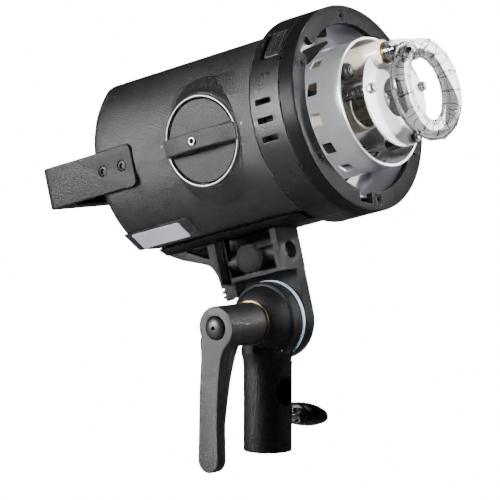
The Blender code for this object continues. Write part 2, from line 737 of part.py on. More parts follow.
BAR_IN, BAR_OUT = 197.0, 213.5
handle_outline = [(-HANDLE_X, 133.6)]
handle_outline += arc((-HANDLE_X + 10, BAR_OUT - 10), 10, 180, 90, 4)
handle_outline += arc((HANDLE_X - 10, BAR_OUT - 10), 10, 90, 0, 4)
handle_outline += [(HANDLE_X, 133.6), (63.8, 133.6), (63.8, 168.0), (61.4, 174.0)]
handle_outline += arc((61.4 - 7, BAR_IN - 7), 7, 0, 90, 3)
handle_outline += arc((-61.4 + 7, BAR_IN - 7), 7, 90, 180, 3)
handle_outline += [(-61.4, 174.0), (-63.8, 168.0), (-63.8, 133.6)]
handle = to_object("handle", prism(handle_outline, "Z", HANDLE_LOW, HANDLE_HIGH), GREY_FACE,
                   HEAD, (0, 150, HANDLE_MID))
bevel(handle, 1.6, 1, 40)
SCREW_Z = -2.4
work = Builder(handle)
for side in (-1, 1):
    low, high = (-75, -65.4) if side < 0 else (65.4, 75)
    for back in (142.8, 159.0):
        work.cut(disc(3.6, low, high, "X", (0, back, SCREW_Z), 12))
number = 0
for side in (-1, 1):
    low, high = (-67.2, -65.7) if side < 0 else (65.7, 67.2)
    for back in (142.8, 159.0):
        number += 1
        hex_socket_screw(f"handle_screw_{number}", STEEL, HEAD, (0, back, SCREW_Z), "X", 3.2,
                         low, high, side, 1.1)

grip = to_object("handle_grip", box((-44, 44), (194.4, 196.7), (-13.6, 7.2)), RUBBER, HEAD,
                 (0, 196.7, HANDLE_MID))
bevel(grip, 0.7, 1)
work = Builder(grip)
for index in range(11):
    x = -35.0 + 7.0 * index
    work.cut(box((x - 1.3, x + 1.3), (193, 195.3), (-11.0, 4.6)))

label_angle = 48.2
to_object(
    "label_plate",
    rotate(box((-66.65, -66.25), (121.4, 161.0), (-7.0, 7.0)), -label_angle, "Y"),
    LABEL, HEAD, (0, 141, 0),
)

# ---------------------------------------------------------------- inside and the rear panel

chassis_stations = [(94.6, body_section(4.4, 36)), (97.0, body_section(4.4, 36))]
chassis = to_object("chassis_plate", skin(chassis_stations, False), STEEL, HEAD)
work = Builder(chassis)
work.cut(box((-70, -38), (90, 100), (-24, 14)))
work.cut(box((-70, -53.8), (90, 100), (-37, 34)))
work.cut(disc(14, 90, 100, "Y", (0, 0, 4), 20))

to_object("main_board", box((-36, 36), (97.4, 140), (24.0, 25.6)), BOARD, HEAD, (0, 97.4, 24))
for number, x in enumerate((-19.0, 19.0), 1):
    to_object(f"capacitor_{number}",
              disc(16.0, 97.4, 141.0, "Y", (x, 0, -24.0), 20), SLEEVE, HEAD,
              (x, 97.4, -24.0))

FAN_Z = 2.0
LOW_ROW = -33.5
rotor = to_object("fan_rotor", disc(8.6, 148.2, 157.8, "Y", (0, 0, FAN_Z), 21), RUBBER,
                  HEAD, (0, 148.2, FAN_Z))
work = Builder(rotor)
for index in range(7):
    blade = bmesh.new()
    lower = []
    upper = []
    for radius, half in ((7.0, 3.6), (21.6, 5.6)):
        for side in (-1, 1):
            lower.append((side * half, 153.0 + side * 3.6 - 0.5, radius))
            upper.append((side * half, 153.0 + side * 3.6 + 0.5, radius))
    order = (0, 1, 3, 2)
    bottom = [blade.verts.new(lower[i]) for i in order]
    top = [blade.verts.new(upper[i]) for i in order]
    blade.faces.new(bottom)
    blade.faces.new(top)
    for step in range(4):
        ahead = (step + 1) % 4
        blade.faces.new([bottom[step], bottom[ahead], top[ahead], top[step]])
    rotate(blade, 360.0 * index / 7, "Y")
    bmesh.ops.translate(blade, verts=blade.verts, vec=(0, 0, FAN_Z))
    work.join(blade)

panel_stations = [(160.2, body_section(10.8, 40)), (163.2, body_section(10.8, 40))]
panel = to_object("rear_panel", skin(panel_stations, False), BLACK, HEAD)
work = Builder(panel)
work.join(ring(22.8, 25.6, 146.0, 160.8, "Y", (0, 0, FAN_Z), 24))
for index in range(3):
    arm = box((-1.6, 1.6), (145.6, 147.6), (0, 24))
    rotate(arm, 120 * index, "Y")
    bmesh.ops.translate(arm, verts=arm.verts, vec=(0, 0, FAN_Z))
    work.join(arm)
work.join(disc(7.0, 145.4, 147.9, "Y", (0, 0, FAN_Z), 14))
for index in range(7):
    z = FAN_Z - 18.0 + 6.0 * index
    half = sqrt(21.0 ** 2 - (z - FAN_Z) ** 2)
    work.cut(prism(rounded(2 * half, 3.0, 1.4, (0, z), 1), "Y", 155, 170))
for x, z in ((-37.0, 14.0), (-37.0, 2.0)):
    work.cut(disc(4.3, 155, 170, "Y", (x, 0, z), 16))
work.cut(box((-24.4, -7.6), (155, 170), (LOW_ROW - 5.4, LOW_ROW + 5.4)))
work.cut(prism(rounded(26.8, 19.2, 2.5, (12, LOW_ROW)), "Y", 155, 170))
work.cut(disc(3.05, 155, 170, "Y", (36, 0, 6), 18))
work.cut(disc(3.2, 155, 170, "Y", (-38, 0, -17), 12))

to_object("display_window", prism(rounded(44, 15, 2, (0, 34.5)), "Y", 163.5, 164.7), SCREEN,
          HEAD, (0, 163.5, 34.5))
dial = to_object(
    "control_dial",
    lathe([(0, 158.8), (2.9, 158.8), (2.9, 163.5), (9.4, 163.5), (9.4, 171.0), (8.6, 172.0),
           (0, 172.0)], "Y", (36, 0, 6), 18),
    GREY_FACE, HEAD, (36, 163.5, 6),
)
Builder(dial).cut(box((35.5, 36.5), (171.2, 174), (9.5, 14.5)))
for name, z, mat in (("test_button", 14.0, ORANGE), ("lamp_button", 2.0, WHITE)):
    to_object(name, disc(4.0, 159.4, 165.6, "Y", (-37.0, 0, z), 16), mat, HEAD,
              (-37.0, 159.4, z))
rocker = [(-7.6, 158.6), (-7.6, 165.8), (0.0, 163.9), (7.6, 164.2), (7.6, 158.6)]
to_object("power_switch", prism([(x - 16.0, back) for x, back in rocker], "Z", LOW_ROW - 5.0,
                                LOW_ROW + 5.0), RUBBER, HEAD, (-16.0, 160.6, LOW_ROW))
inlet = to_object("power_inlet", prism(rounded(29, 21.4, 2.5, (12, LOW_ROW)), "Y", 163.5, 166.0),
                  RUBBER, HEAD, (12, 163.5, LOW_ROW))
work = Builder(inlet)
work.join(prism(rounded(26.2, 18.6, 2.5, (12, LOW_ROW)), "Y", 146.0, 164.0))
work.cut(prism(rounded(24.0, 16.2, 2.0, (12, LOW_ROW)), "Y", 147.6, 170))
for x, z in ((0, 3.6), (-7.0, -1.6), (7.0, -1.6)):
    work.join(box((11.0 + x, 13.0 + x), (147.0, 162.0), (LOW_ROW + z - 2, LOW_ROW + z + 2)))
to_object("sync_jack",
          lathe([(1.8, 159.0), (2.9, 159.0), (2.9, 163.5), (5.0, 163.5), (5.0, 165.6),
                 (1.8, 165.6)], "Y", (-38, 0, -17), 12), CHROME, HEAD, (-38, 163.5, -17))

for thing in bpy.data.objects:
    if thing.type == "MESH" and not thing.hide_render:
        smooth(thing)
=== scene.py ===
"""The monolight strobe's look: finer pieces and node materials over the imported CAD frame.

HEAD is the lamp's own frame: x to the right as seen from behind, y back along its axis, z up,
with its origin at the centre of the front ring's face. Lengths here are in millimetres.
"""
import json
from math import cos, exp, log, pi, radians, sin

import bmesh
import bpy
from mathutils import Matrix, Vector


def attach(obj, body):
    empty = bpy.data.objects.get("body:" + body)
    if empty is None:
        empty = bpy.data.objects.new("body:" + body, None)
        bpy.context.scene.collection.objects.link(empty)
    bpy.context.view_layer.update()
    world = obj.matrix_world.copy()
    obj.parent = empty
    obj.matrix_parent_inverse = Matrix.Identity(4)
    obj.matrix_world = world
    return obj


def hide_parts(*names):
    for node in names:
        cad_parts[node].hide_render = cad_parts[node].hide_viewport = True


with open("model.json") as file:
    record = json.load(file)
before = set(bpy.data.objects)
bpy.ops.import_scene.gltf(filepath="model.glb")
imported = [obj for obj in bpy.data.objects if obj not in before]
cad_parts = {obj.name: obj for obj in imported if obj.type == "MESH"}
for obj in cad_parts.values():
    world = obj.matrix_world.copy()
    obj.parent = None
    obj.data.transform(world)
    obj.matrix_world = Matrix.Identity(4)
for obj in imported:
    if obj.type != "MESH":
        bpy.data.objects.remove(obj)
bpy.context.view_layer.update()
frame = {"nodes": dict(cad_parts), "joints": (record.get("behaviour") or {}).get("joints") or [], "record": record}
MM = 0.001

# ------------------------------------------------------------------ the head's frame

joints = {j["name"]: j for j in frame["joints"]}
mounts = {m["name"]: m for m in frame["record"]["mounts"]}
FORWARD = Vector(joints["lamp_slide"]["axis"]).normalized()
UP = Vector((1, 0, 0)).cross(-FORWARD).normalized()
FACE = Vector(mounts["modifier_flange"]["pos_m"]) - Vector((60.8 * MM, 0, 0))
HEAD = Matrix(((1, -FORWARD.x, UP.x, FACE.x), (0, -FORWARD.y, UP.y, FACE.y),
               (0, -FORWARD.z, UP.z, FACE.z), (0, 0, 0, 1)))
WORLD = Matrix.Identity(4)


# ------------------------------------------------------------------ materials


class Nodes:
    """Small helper round one node tree."""

    def __init__(self, name):
        self.material = bpy.data.materials.new(name)
        self.material.use_nodes = True
        self.tree = self.material.node_tree
        self.shader = self.tree.nodes["Principled BSDF"]

    def add(self, kind, **values):
        node = self.tree.nodes.new("ShaderNode" + kind)
        for key, value in values.items():
            setattr(node, key, value)
        return node

    def link(self, output, socket):
        self.tree.links.new(output, socket)

    def noise(self, scale, detail=3.0, rough=0.55, stretch=None):
        coords = self.add("TexCoord")
        noise = self.add("TexNoise")
        noise.inputs["Scale"].default_value = scale
        noise.inputs["Detail"].default_value = detail
        noise.inputs["Roughness"].default_value = rough
        if stretch:
            mapping = self.add("Mapping")
            mapping.inputs["Scale"].default_value = stretch
            self.link(coords.outputs["Object"], mapping.inputs["Vector"])
            self.link(mapping.outputs["Vector"], noise.inputs["Vector"])
        else:
            self.link(coords.outputs["Object"], noise.inputs["Vector"])
        return noise.outputs["Fac"]

    def ramp(self, value, low, high, out_low=0.0, out_high=1.0):
        node = self.add("MapRange")
        node.inputs["From Min"].default_value = low
        node.inputs["From Max"].default_value = high
        node.inputs["To Min"].default_value = out_low
        node.inputs["To Max"].default_value = out_high
        self.link(value, node.inputs["Value"])
        return node.outputs["Result"]

    def mix(self, factor, first, second):
        node = self.add("Mix", data_type="RGBA")
        self.link(factor, node.inputs["Factor"])
        for value, socket in ((first, node.inputs[6]), (second, node.inputs[7])):
            if isinstance(value, tuple):
                socket.default_value = (*value, 1.0)
            else:
                self.link(value, socket)
        return node.outputs[2]

    def math(self, operation, first, second):
        node = self.add("Math", operation=operation)
        for value, socket in ((first, node.inputs[0]), (second, node.inputs[1])):
            if isinstance(value, (int, float)):
                socket.default_value = value
            else:
                self.link(value, socket)
        return node.outputs[0]

    def soft_edges(self, radius):
        """The normal with sharp edges rounded off, radius in millimetres."""
        node = self.add("Bevel", samples=4)
        node.inputs["Radius"].default_value = radius * MM
        return node.outputs["Normal"]

    def bump(self, pattern, height, normal=None):
        """Gives the surface a relief of this height in millimetres."""
        node = self.add("Bump")
        node.inputs["Distance"].default_value = height * MM
        self.link(pattern, node.inputs["Height"])
        if normal:
            self.link(normal, node.inputs["Normal"])
        self.link(node.outputs["Normal"], self.shader.inputs["Normal"])


def coated(name, color, rough, metal=0.0, grain=1500.0, height=0.03, mottle=0.25, wear=0.1,
           wear_color=(0.25, 0.25, 0.26), specular=0.5, coat=0.0, speck=1.0):
    """A coated or moulded surface: grain, uneven colour and sheen, and paler worn edges."""
    n = Nodes(name)
    shader = n.shader
    shader.inputs["Metallic"].default_value = metal
    shader.inputs["Specular IOR Level"].default_value = specular
    shader.inputs["Coat Weight"].default_value = coat
    shader.inputs["Coat Roughness"].default_value = 0.15
    cloud = n.noise(38.0, 4.0)
    fine = n.noise(grain, 2.0, 0.6)
    darker = tuple(c * (1 - mottle) for c in color)
    lighter = tuple(min(1.0, c * (1 + mottle)) for c in color)
    base = n.mix(n.ramp(cloud, 0.3, 0.7), darker, lighter)
    dots = n.mix(n.ramp(fine, 0.35, 0.72), (1 - 0.4 * speck,) * 3, (1 + 0.4 * speck,) * 3)
    multiply = n.add("Mix", data_type="RGBA", blend_type="MULTIPLY")
    multiply.inputs["Factor"].default_value = 1.0
    n.link(base, multiply.inputs[6])
    n.link(dots, multiply.inputs[7])
    edges = n.soft_edges(0.45)
    dot = n.add("VectorMath", operation="DOT_PRODUCT")
    n.link(edges, dot.inputs[0])
    n.link(n.add("NewGeometry").outputs["Normal"], dot.inputs[1])
    turned = n.ramp(dot.outputs["Value"], 0.995, 0.88)
    patchy = n.ramp(n.noise(210.0, 4.0, 0.7), 0.36, 0.62)
    worn = n.math("MULTIPLY", n.math("MULTIPLY", turned, patchy), wear)
    n.link(n.mix(worn, multiply.outputs[2], wear_color), shader.inputs["Base Color"])
    uneven = n.ramp(n.noise(90.0, 5.0, 0.6), 0.3, 0.7, rough - 0.06, rough + 0.07)
    n.link(n.math("SUBTRACT", uneven, n.math("MULTIPLY", worn, 0.25)), shader.inputs["Roughness"])
    n.bump(fine, height, edges)
    return n.material


def plain_metal(name, color, rough, scratch=(1.0, 1.0, 1.0), scratch_scale=420.0, metal=1.0):
    """Bare or plated metal: fine drawn lines, smudges and softened edges."""
    n = Nodes(name)
    shader = n.shader
    shader.inputs["Metallic"].default_value = metal
    lines = n.noise(scratch_scale, 5.0, 0.65, scratch)
    smudge = n.noise(60.0, 3.0, 0.5)
    darker = tuple(c * 0.88 for c in color)
    n.link(n.mix(n.ramp(smudge, 0.35, 0.7), darker, color), shader.inputs["Base Color"])
    total = n.math("ADD", n.ramp(smudge, 0.3, 0.7, -0.04, 0.07),
                   n.ramp(lines, 0.3, 0.7, -0.04, 0.05))
    n.link(n.math("ADD", total, rough), shader.inputs["Roughness"])
    n.bump(lines, 0.006, n.soft_edges(0.3))
    return n.material


def clear_glass(name, tint):
    """Blown glass with slow waves, a trace of haze and rims darkened by its thickness."""
    n = Nodes(name)
    shader = n.shader
    shader.inputs["Transmission Weight"].default_value = 1.0
    shader.inputs["IOR"].default_value = 1.46
    wave = n.noise(55.0, 2.0, 0.4)
    n.link(n.mix(n.ramp(wave, 0.3, 0.7), tint, (1.0, 1.0, 1.0)), shader.inputs["Base Color"])
    n.link(n.ramp(n.noise(120.0, 3.0), 0.35, 0.8, 0.0, 0.05), shader.inputs["Roughness"])
    n.bump(wave, 0.02)
    thickness = n.add("VolumeAbsorption")
    thickness.inputs["Color"].default_value = (0.10, 0.13, 0.14, 1.0)
    thickness.inputs["Density"].default_value = 48.0
    n.link(thickness.outputs["Volume"], n.tree.nodes["Material Output"].inputs["Volume"])
    return n.material


BODY = coated("body_coat", (0.0060, 0.0063, 0.0070), 0.36, height=0.52, wear=0.25,
              specular=0.62)
COLLAR = coated("collar_coat", (0.0048, 0.005, 0.0056), 0.30, height=0.25, wear=0.25,
                specular=0.42)
CASTING = coated("casting_coat", (0.005, 0.0052, 0.0058), 0.36, grain=1200, height=0.5,
                 wear=0.25, specular=0.24)
LEVER = coated("lever_coat", (0.014, 0.014, 0.0155), 0.34, height=0.42, wear=0.3, specular=0.55)
RING = coated("ring_anodised", (0.0035, 0.0037, 0.0042), 0.42, specular=0.11, grain=2600,
              height=0.012, wear=0.45, wear_color=(0.4, 0.4, 0.42))
GREY = coated("dial_moulding", (0.020, 0.0205, 0.0225), 0.50, grain=1250, height=0.5, wear=0.2,
              specular=0.4)
HANDLE = coated("handle_moulding", (0.008, 0.0083, 0.0085), 0.48, height=0.4, specular=0.36,
                wear=0.2)
PLASTIC = coated("black_moulding", (0.012, 0.012, 0.013), 0.40, grain=1900, height=0.015, wear=0.2)
CATCH = coated("catch_moulding", (0.0009, 0.0009, 0.001), 0.42, grain=1700, height=0.012,
               wear_color=(0.008, 0.008, 0.008), specular=0.04)
RUBBER = coated("soft_rubber", (0.014, 0.014, 0.014), 0.72, grain=1600,
                wear_color=(0.05, 0.05, 0.05), specular=0.12)
STEEL = plain_metal("black_steel", (0.018, 0.0185, 0.02), 0.34)
WIRE = plain_metal("dark_wire", (0.02, 0.02, 0.022), 0.4)
CHROME = plain_metal("bright_plating", (0.80, 0.81, 0.83), 0.10, scratch_scale=300)
SPRING = plain_metal("zinc_plating", (0.15, 0.153, 0.162), 0.24)
BEZEL = plain_metal("bezel_silver", (0.20, 0.205, 0.215), 0.34)
SILVER = plain_metal("satin_silver", (0.46, 0.47, 0.50), 0.34, (1.0, 0.15, 1.0), 500, metal=0.9)
BARREL = plain_metal("barrel_silver", (0.88, 0.89, 0.92), 0.36, (1.0, 0.1, 1.0), 650, metal=0.68)
BRASS = plain_metal("turned_brass", (0.20, 0.125, 0.06), 0.34)
NYLON = coated("pale_nylon", (0.50, 0.66, 0.78), 0.40, grain=900, height=0.01, mottle=0.06,
               wear_color=(0.8, 0.9, 0.95), speck=0.12)
CERAMIC = coated("cream_ceramic", (0.80, 0.72, 0.60), 0.30, grain=700, height=0.01, mottle=0.05,
                 wear_color=(0.95, 0.92, 0.86), coat=0.3, speck=0.12)
ENAMEL = coated("white_enamel", (0.90, 0.905, 0.92), 0.34, grain=900, height=0.008, mottle=0.03,
                wear=0.15, wear_color=(1.0, 1.0, 1.0), coat=0.2, speck=0.12)
LABEL = coated("blank_label", (0.50, 0.515, 0.56), 0.38, metal=0.25, grain=2200, height=0.006,
               mottle=0.05, wear_color=(0.8, 0.8, 0.82), speck=0.12)
STICKER = coated("black_sticker", (0.010, 0.010, 0.011), 0.26, grain=1200, height=0.006)
MARK = coated("mark_paint", (0.62, 0.62, 0.62), 0.5, grain=900, height=0.01)
SCREEN = coated("display_gloss", (0.02, 0.035, 0.05), 0.10, grain=700, height=0.002, coat=0.8)
ORANGE = coated("orange_moulding", (0.70, 0.20, 0.03), 0.45, height=0.02)
PALE = coated("pale_moulding", (0.75, 0.76, 0.78), 0.45, height=0.02)
BOARD = coated("circuit_board", (0.02, 0.12, 0.06), 0.4, grain=500)
SLEEVE = coated("capacitor_sleeve", (0.02, 0.03, 0.07), 0.3, grain=600, height=0.01)
GLASS = clear_glass("flash_glass", (0.95, 0.97, 0.98))
LAMP = clear_glass("lamp_glass", (0.97, 0.97, 0.95))

# ------------------------------------------------------------------ mesh tools

ON_AXIS = 1e-6


def smooth(mesh, angle):
    """Shades a mesh smooth but for edges sharper than the angle."""
    for face in mesh.polygons:
        face.use_smooth = True
    mesh.set_sharp_from_angle(angle=radians(angle))


def finish_piece(name, mesh_data, material, body, stands_for=(), place=HEAD, angle=32,
                 turn_out=True):
    """One piece from a bmesh in millimetres, on its body. Its slot comes from SLOTS or is given."""
    bmesh.ops.remove_doubles(mesh_data, verts=mesh_data.verts, dist=1e-4)
    if turn_out:
        bmesh.ops.recalc_face_normals(mesh_data, faces=mesh_data.faces)
    for vert in mesh_data.verts:
        vert.co = place @ (vert.co * MM)
    mesh = bpy.data.meshes.new(name)
    mesh_data.to_mesh(mesh)
    mesh_data.free()
    piece = bpy.data.objects.new(name, mesh)
    bpy.context.scene.collection.objects.link(piece)
    if material is None:
        return piece
    mesh.materials.append(material)
    smooth(mesh, angle)
    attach(piece, body)
    for node in stands_for:
        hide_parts(node)
    return piece


def bake(piece, angle):
    """Applies a piece's modifiers and shades the result."""
    graph = bpy.context.evaluated_depsgraph_get()
    mesh = bpy.data.meshes.new_from_object(piece.evaluated_get(graph))
    old = piece.data
    piece.modifiers.clear()
    piece.data = mesh
    bpy.data.meshes.remove(old)
    smooth(mesh, angle)


def carve(piece, cuts=(), joins=(), place=HEAD, angle=32, bevel=0.0):
    """Exact Booleans with bmeshes in millimetres, then rounded edges, all applied."""
    helpers = []
    for operation, shapes in (("UNION", joins), ("DIFFERENCE", cuts)):
        for shape in shapes:
            helper = finish_piece("helper", shape, None, None, place=place)
            helpers.append(helper)
            modifier = piece.modifiers.new("carve", "BOOLEAN")
            modifier.operation = operation
            modifier.solver = "EXACT"
            modifier.object = helper
    if bevel:
        modifier = piece.modifiers.new("edges", "BEVEL")
        modifier.width = bevel * MM
        modifier.segments = 3
        modifier.limit_method = "ANGLE"
        modifier.angle_limit = radians(38)
        modifier.use_clamp_overlap = True
    bake(piece, angle)
    for helper in helpers:
        bpy.data.objects.remove(helper, do_unlink=True)


def loft(made, rows, closed=False):
    """Skins rings of vertices in turn, with a face on each end or closed into a loop."""
    pairs = list(zip(rows, rows[1:]))
    if closed:
        pairs.append((rows[-1], rows[0]))
    else:
        made.faces.new(rows[0])
        made.faces.new(rows[-1])
    for row, after in pairs:
        for step in range(len(row)):
            ahead = (step + 1) % len(row)
            made.faces.new([row[step], row[ahead], after[ahead], after[step]])
    return made


def lathe(profile, axis="Z", at=(0, 0, 0), segments=96):
    """(radius, distance along the axis) points turned about an axis through a point."""
    made = bmesh.new()
    spin = {
        "X": Matrix(((0, 0, 1), (1, 0, 0), (0, 1, 0))),
        "Y": Matrix(((0, 1, 0), (0, 0, 1), (1, 0, 0))),
        "Z": Matrix.Identity(3),
    }[axis]
    rows = []
    for radius, along in profile:
        if radius < ON_AXIS:
            rows.append([made.verts.new(spin @ Vector((0, 0, along)) + Vector(at))] * segments)
            continue
        rows.append([
            made.verts.new(spin @ Vector((radius * cos(2 * pi * step / segments),
                                          radius * sin(2 * pi * step / segments), along))
                           + Vector(at))
            for step in range(segments)
        ])
    for index in range(len(rows)):
        row, after = rows[index], rows[(index + 1) % len(rows)]
        here, there = profile[index], profile[(index + 1) % len(rows)]
        flat = abs(here[1] - there[1]) < ON_AXIS
        if here[0] < ON_AXIS and there[0] < ON_AXIS:
            continue
        if here[0] < ON_AXIS and flat:
            made.faces.new(after)
        elif there[0] < ON_AXIS and flat:
            made.faces.new(row)
        else:
            for step in range(segments):
                ahead = (step + 1) % segments
                corners = (row[step], row[ahead], after[ahead], after[step])
                made.faces.new(list(dict.fromkeys(corners)))
    for vert in [v for v in made.verts if not v.link_faces]:
        made.verts.remove(vert)
    return made


def soft(profile, radius=0.5, steps=3):
    """The profile with its corners rounded off, for a lathe."""
    points = []
    count = len(profile)
    for index, here in enumerate(profile):
        before, after = Vector(profile[index - 1]), Vector(profile[(index + 1) % count])
        corner = Vector(here)
        if corner.x < ON_AXIS:
            points.append(tuple(corner))
            continue
        reach = min(radius, (before - corner).length * 0.45, (after - corner).length * 0.45)
        start = corner + (before - corner).normalized() * reach
        end = corner + (after - corner).normalized() * reach
        for step in range(steps + 1):
            t = step / steps
            point = start * (1 - t) ** 2 + corner * 2 * t * (1 - t) + end * t ** 2
            points.append((max(point.x, 0.0), point.y))
    return points


def disc(radius, low, high, axis="Z", at=(0, 0, 0), segments=64):
    return lathe([(0, low), (radius, low), (radius, high), (0, high)], axis, at, segments)


def prism(outline, axis, low, high):
    """An outline pushed along an axis: (y, z) for X, (x, z) for Y and (x, y) for Z."""
    made = bmesh.new()

    def place(point, along):
        if axis == "X":
            return (along, point[0], point[1])
        if axis == "Y":
            return (point[0], along, point[1])
        return (point[0], point[1], along)

    return loft(made, [[made.verts.new(place(point, along)) for point in outline]
                       for along in (low, high)])


def span(side, near, far):
    """Two distances out from the middle as (low, high) along X, on the side -1 or 1."""
    return sorted((side * near, side * far))


def box(x, y, z):
    return prism([(x[0], y[0]), (x[1], y[0]), (x[1], y[1]), (x[0], y[1])], "Z", z[0], z[1])


def arc(centre, radius, start, stop, steps):
    points = []
    for step in range(steps + 1):
        angle = radians(start + (stop - start) * step / steps)
        points.append((centre[0] + radius * cos(angle), centre[1] + radius * sin(angle)))
    return points


def rounded(width, height, radius, centre=(0, 0), steps=6):
    points = []
    for sign_x, sign_y, start in ((1, 1, 0), (-1, 1, 90), (-1, -1, 180), (1, -1, 270)):
        middle = (centre[0] + sign_x * (width / 2 - radius),
                  centre[1] + sign_y * (height / 2 - radius))
        points += arc(middle, radius, start, start + 90, steps)
    return points


def roll(made, degrees):
    """Turns a bmesh about the head's axis."""
    bmesh.ops.rotate(made, verts=made.verts, matrix=Matrix.Rotation(radians(degrees), 3, "Y"))
    return made


def merge(*shapes):
    """Several bmeshes in one, side by side."""
    made = bmesh.new()
    for shape in shapes:
        mesh = bpy.data.meshes.new("merge")
        shape.to_mesh(mesh)
        shape.free()
        made.from_mesh(mesh)
        bpy.data.meshes.remove(mesh)
    return made


def flow(points, count):
    """A smooth path through points: Catmull-Rom, evenly stepped between them."""
    points = [Vector(p) for p in points]
    ends = [2 * points[0] - points[1]] + points + [2 * points[-1] - points[-2]]
    path = []
    for index in range(1, len(ends) - 2):
        a, b, c, d = ends[index - 1:index + 3]
        for step in range(count):
            t = step / count
            path.append(0.5 * (2 * b + (c - a) * t + (2 * a - 5 * b + 4 * c - d) * t * t
                               + (3 * b - a - 3 * c + d) * t ** 3))
    path.append(points[-1])
    return path


def sweep(path, radius, sides, closed=False, flip=False):
    """A round bar along a path, its faces turned in where flip is set."""
    made = bmesh.new()
    rows = []
    side = None
    total = len(path)
    for index, point in enumerate(path):
        if closed:
            before, after = path[index - 1], path[(index + 1) % total]
        else:
            before, after = path[max(index - 1, 0)], path[min(index + 1, total - 1)]
        ahead = (after - before).normalized()
        if side is None:
            side = ahead.orthogonal().normalized()
        side = (side - ahead * side.dot(ahead)).normalized()
        up = ahead.cross(side)
        rows.append([
            made.verts.new(point + radius * (cos(2 * pi * step / sides) * side
                                             + sin(2 * pi * step / sides) * up))
            for step in range(sides)
        ])
    loft(made, rows, closed)
    bmesh.ops.recalc_face_normals(made, faces=made.faces)
    if flip:
        bmesh.ops.reverse_faces(made, faces=made.faces)
    return made


# ------------------------------------------------------------------ carried-over CAD nodes

FINISHES = {
    "tilt_bolt": STEEL, "carriage_plate": PLASTIC, "zoom_pinion": BRASS, "zoom_rack": BRASS,
    "chassis_plate": STEEL, "main_board": BOARD, "capacitor_1": SLEEVE, "capacitor_2": SLEEVE,
    "rear_panel": PLASTIC, "fan_rotor": PLASTIC, "display_window": SCREEN, "control_dial": GREY,
    "test_button": ORANGE, "lamp_button": PALE, "power_switch": PLASTIC, "power_inlet": PLASTIC,
    "sync_jack": CHROME,
}
for node, finish in FINISHES.items():
    piece = frame["nodes"][node]
    piece.data.materials.clear()
    piece.data.materials.append(finish)
    weld = piece.modifiers.new("weld", "WELD")
    weld.merge_threshold = 1e-6
    for face in piece.data.polygons:
        face.use_smooth = True
    split = piece.modifiers.new("split", "EDGE_SPLIT")
    split.split_angle = radians(32)

# ------------------------------------------------------------------ the casing's outline

BODY_R, FLAT_TOP, FLAT_BOTTOM = 66.0, 53.5, 55.5
SOFTNESS = 0.7
KNOB_Y, KNOB_Z = 75.5, -1.5
KNOB = (0, KNOB_Y, KNOB_Z)
CATCH_DEG = -45.5


def body_section(inset):
    """The head's cross-section: a circle cut flat at the top and the bottom, blended softly."""
    points = []
    radius = BODY_R - inset
    samples = 288
    for step in range(samples):
        angle = 2 * pi * (step + 0.5) / samples
        flat = (FLAT_TOP if sin(angle) > 0 else FLAT_BOTTOM) - inset
        reach = flat / max(abs(sin(angle)), 1e-3)
        mixed = radius
        if reach < radius + 20:
            least = min(radius, reach)
            total = exp((least - radius) / SOFTNESS) + exp((least - reach) / SOFTNESS)
            mixed = least - SOFTNESS * log(total)
        points.append((mixed * cos(angle), mixed * sin(angle)))
    return points


def coil(start, end, radius, wire, turns):
    """A coil spring between two points."""
    start, end = Vector(start), Vector(end)
    along = end - start
    side = along.orthogonal().normalized()
    up = along.normalized().cross(side)
    path = []
    for step in range(turns * 18 + 1):
        angle = 2 * pi * step / 18
        path.append(start + along * step / (turns * 18)
                    + radius * (cos(angle) * side + sin(angle) * up))
    return sweep(path, wire, 10)


def screw_head(radius, low, high, outward, axis, at, hexagon, depth):
    """A cap screw's head: a rounded rim round a flared hexagon socket."""
    top = high if outward > 0 else low
    base = low if outward > 0 else high
    profile = [(0, base), (radius, base), (radius, top), (0, top)]
    made = lathe(soft(profile, 0.35), axis, at, 48)
    bottom, mouth = sorted((top - outward * depth, top + outward))
    socket = disc(hexagon, bottom, mouth, axis, at, 6)
    flare = lathe([(0, top - outward * 0.45), (hexagon * 0.9, top - outward * 0.45),
                   (hexagon * 1.28, top + outward * 0.1), (0, top + outward * 0.1)], axis, at, 48)
    return made, [socket, flare]


# ------------------------------------------------------------------ stand bracket

PIVOT = (0, 0, 83.5)
CLAMP = (0, 0, 19.0)
socket = finish_piece("socket_casting", lathe(soft([
    (8.15, 0), (15.5, 0), (15.5, 51.0), (15.6, 55.0), (16.1, 59.0), (17.1, 62.6), (17.1, 65.6),
    (16.0, 68.4), (16.0, 74), (0, 76), (0, 45.5), (8.15, 45)], 0.9), segments=128), CASTING,
    "stand", ["stand_socket"], WORLD)
dome = [(0, -16.5), (14.0, -16.5), (15.4, -15.8), (17.2, -14.5), (18.9, -12.9), (20.2, -11.1),
        (21.3, -9.0), (22.1, -7.0), (22.5, -5.4), (24.0, -5.0), (24.5, -4.4), (24.6, -3.8),
        (24.6, 4.3), (24.0, 4.9), (0, 4.9)]
carve(socket, [
    box((4.9, 30), (-30, 30), (57.2, 110)), disc(5.1, -30, 20, "X", PIVOT, 48),
    lathe([(0, -20), (9.7, -20), (9.7, -15.2), (8.7, -13.9), (8.7, 0), (0, 0)], "Y",
          (0, 0, 39.0), 72),
    disc(3.1, 4, 20, "X", CLAMP, 32)],
    [lathe(dome, "X", PIVOT, 160)], WORLD, 40)
carve(socket, bevel=0.35, place=WORLD, angle=40)

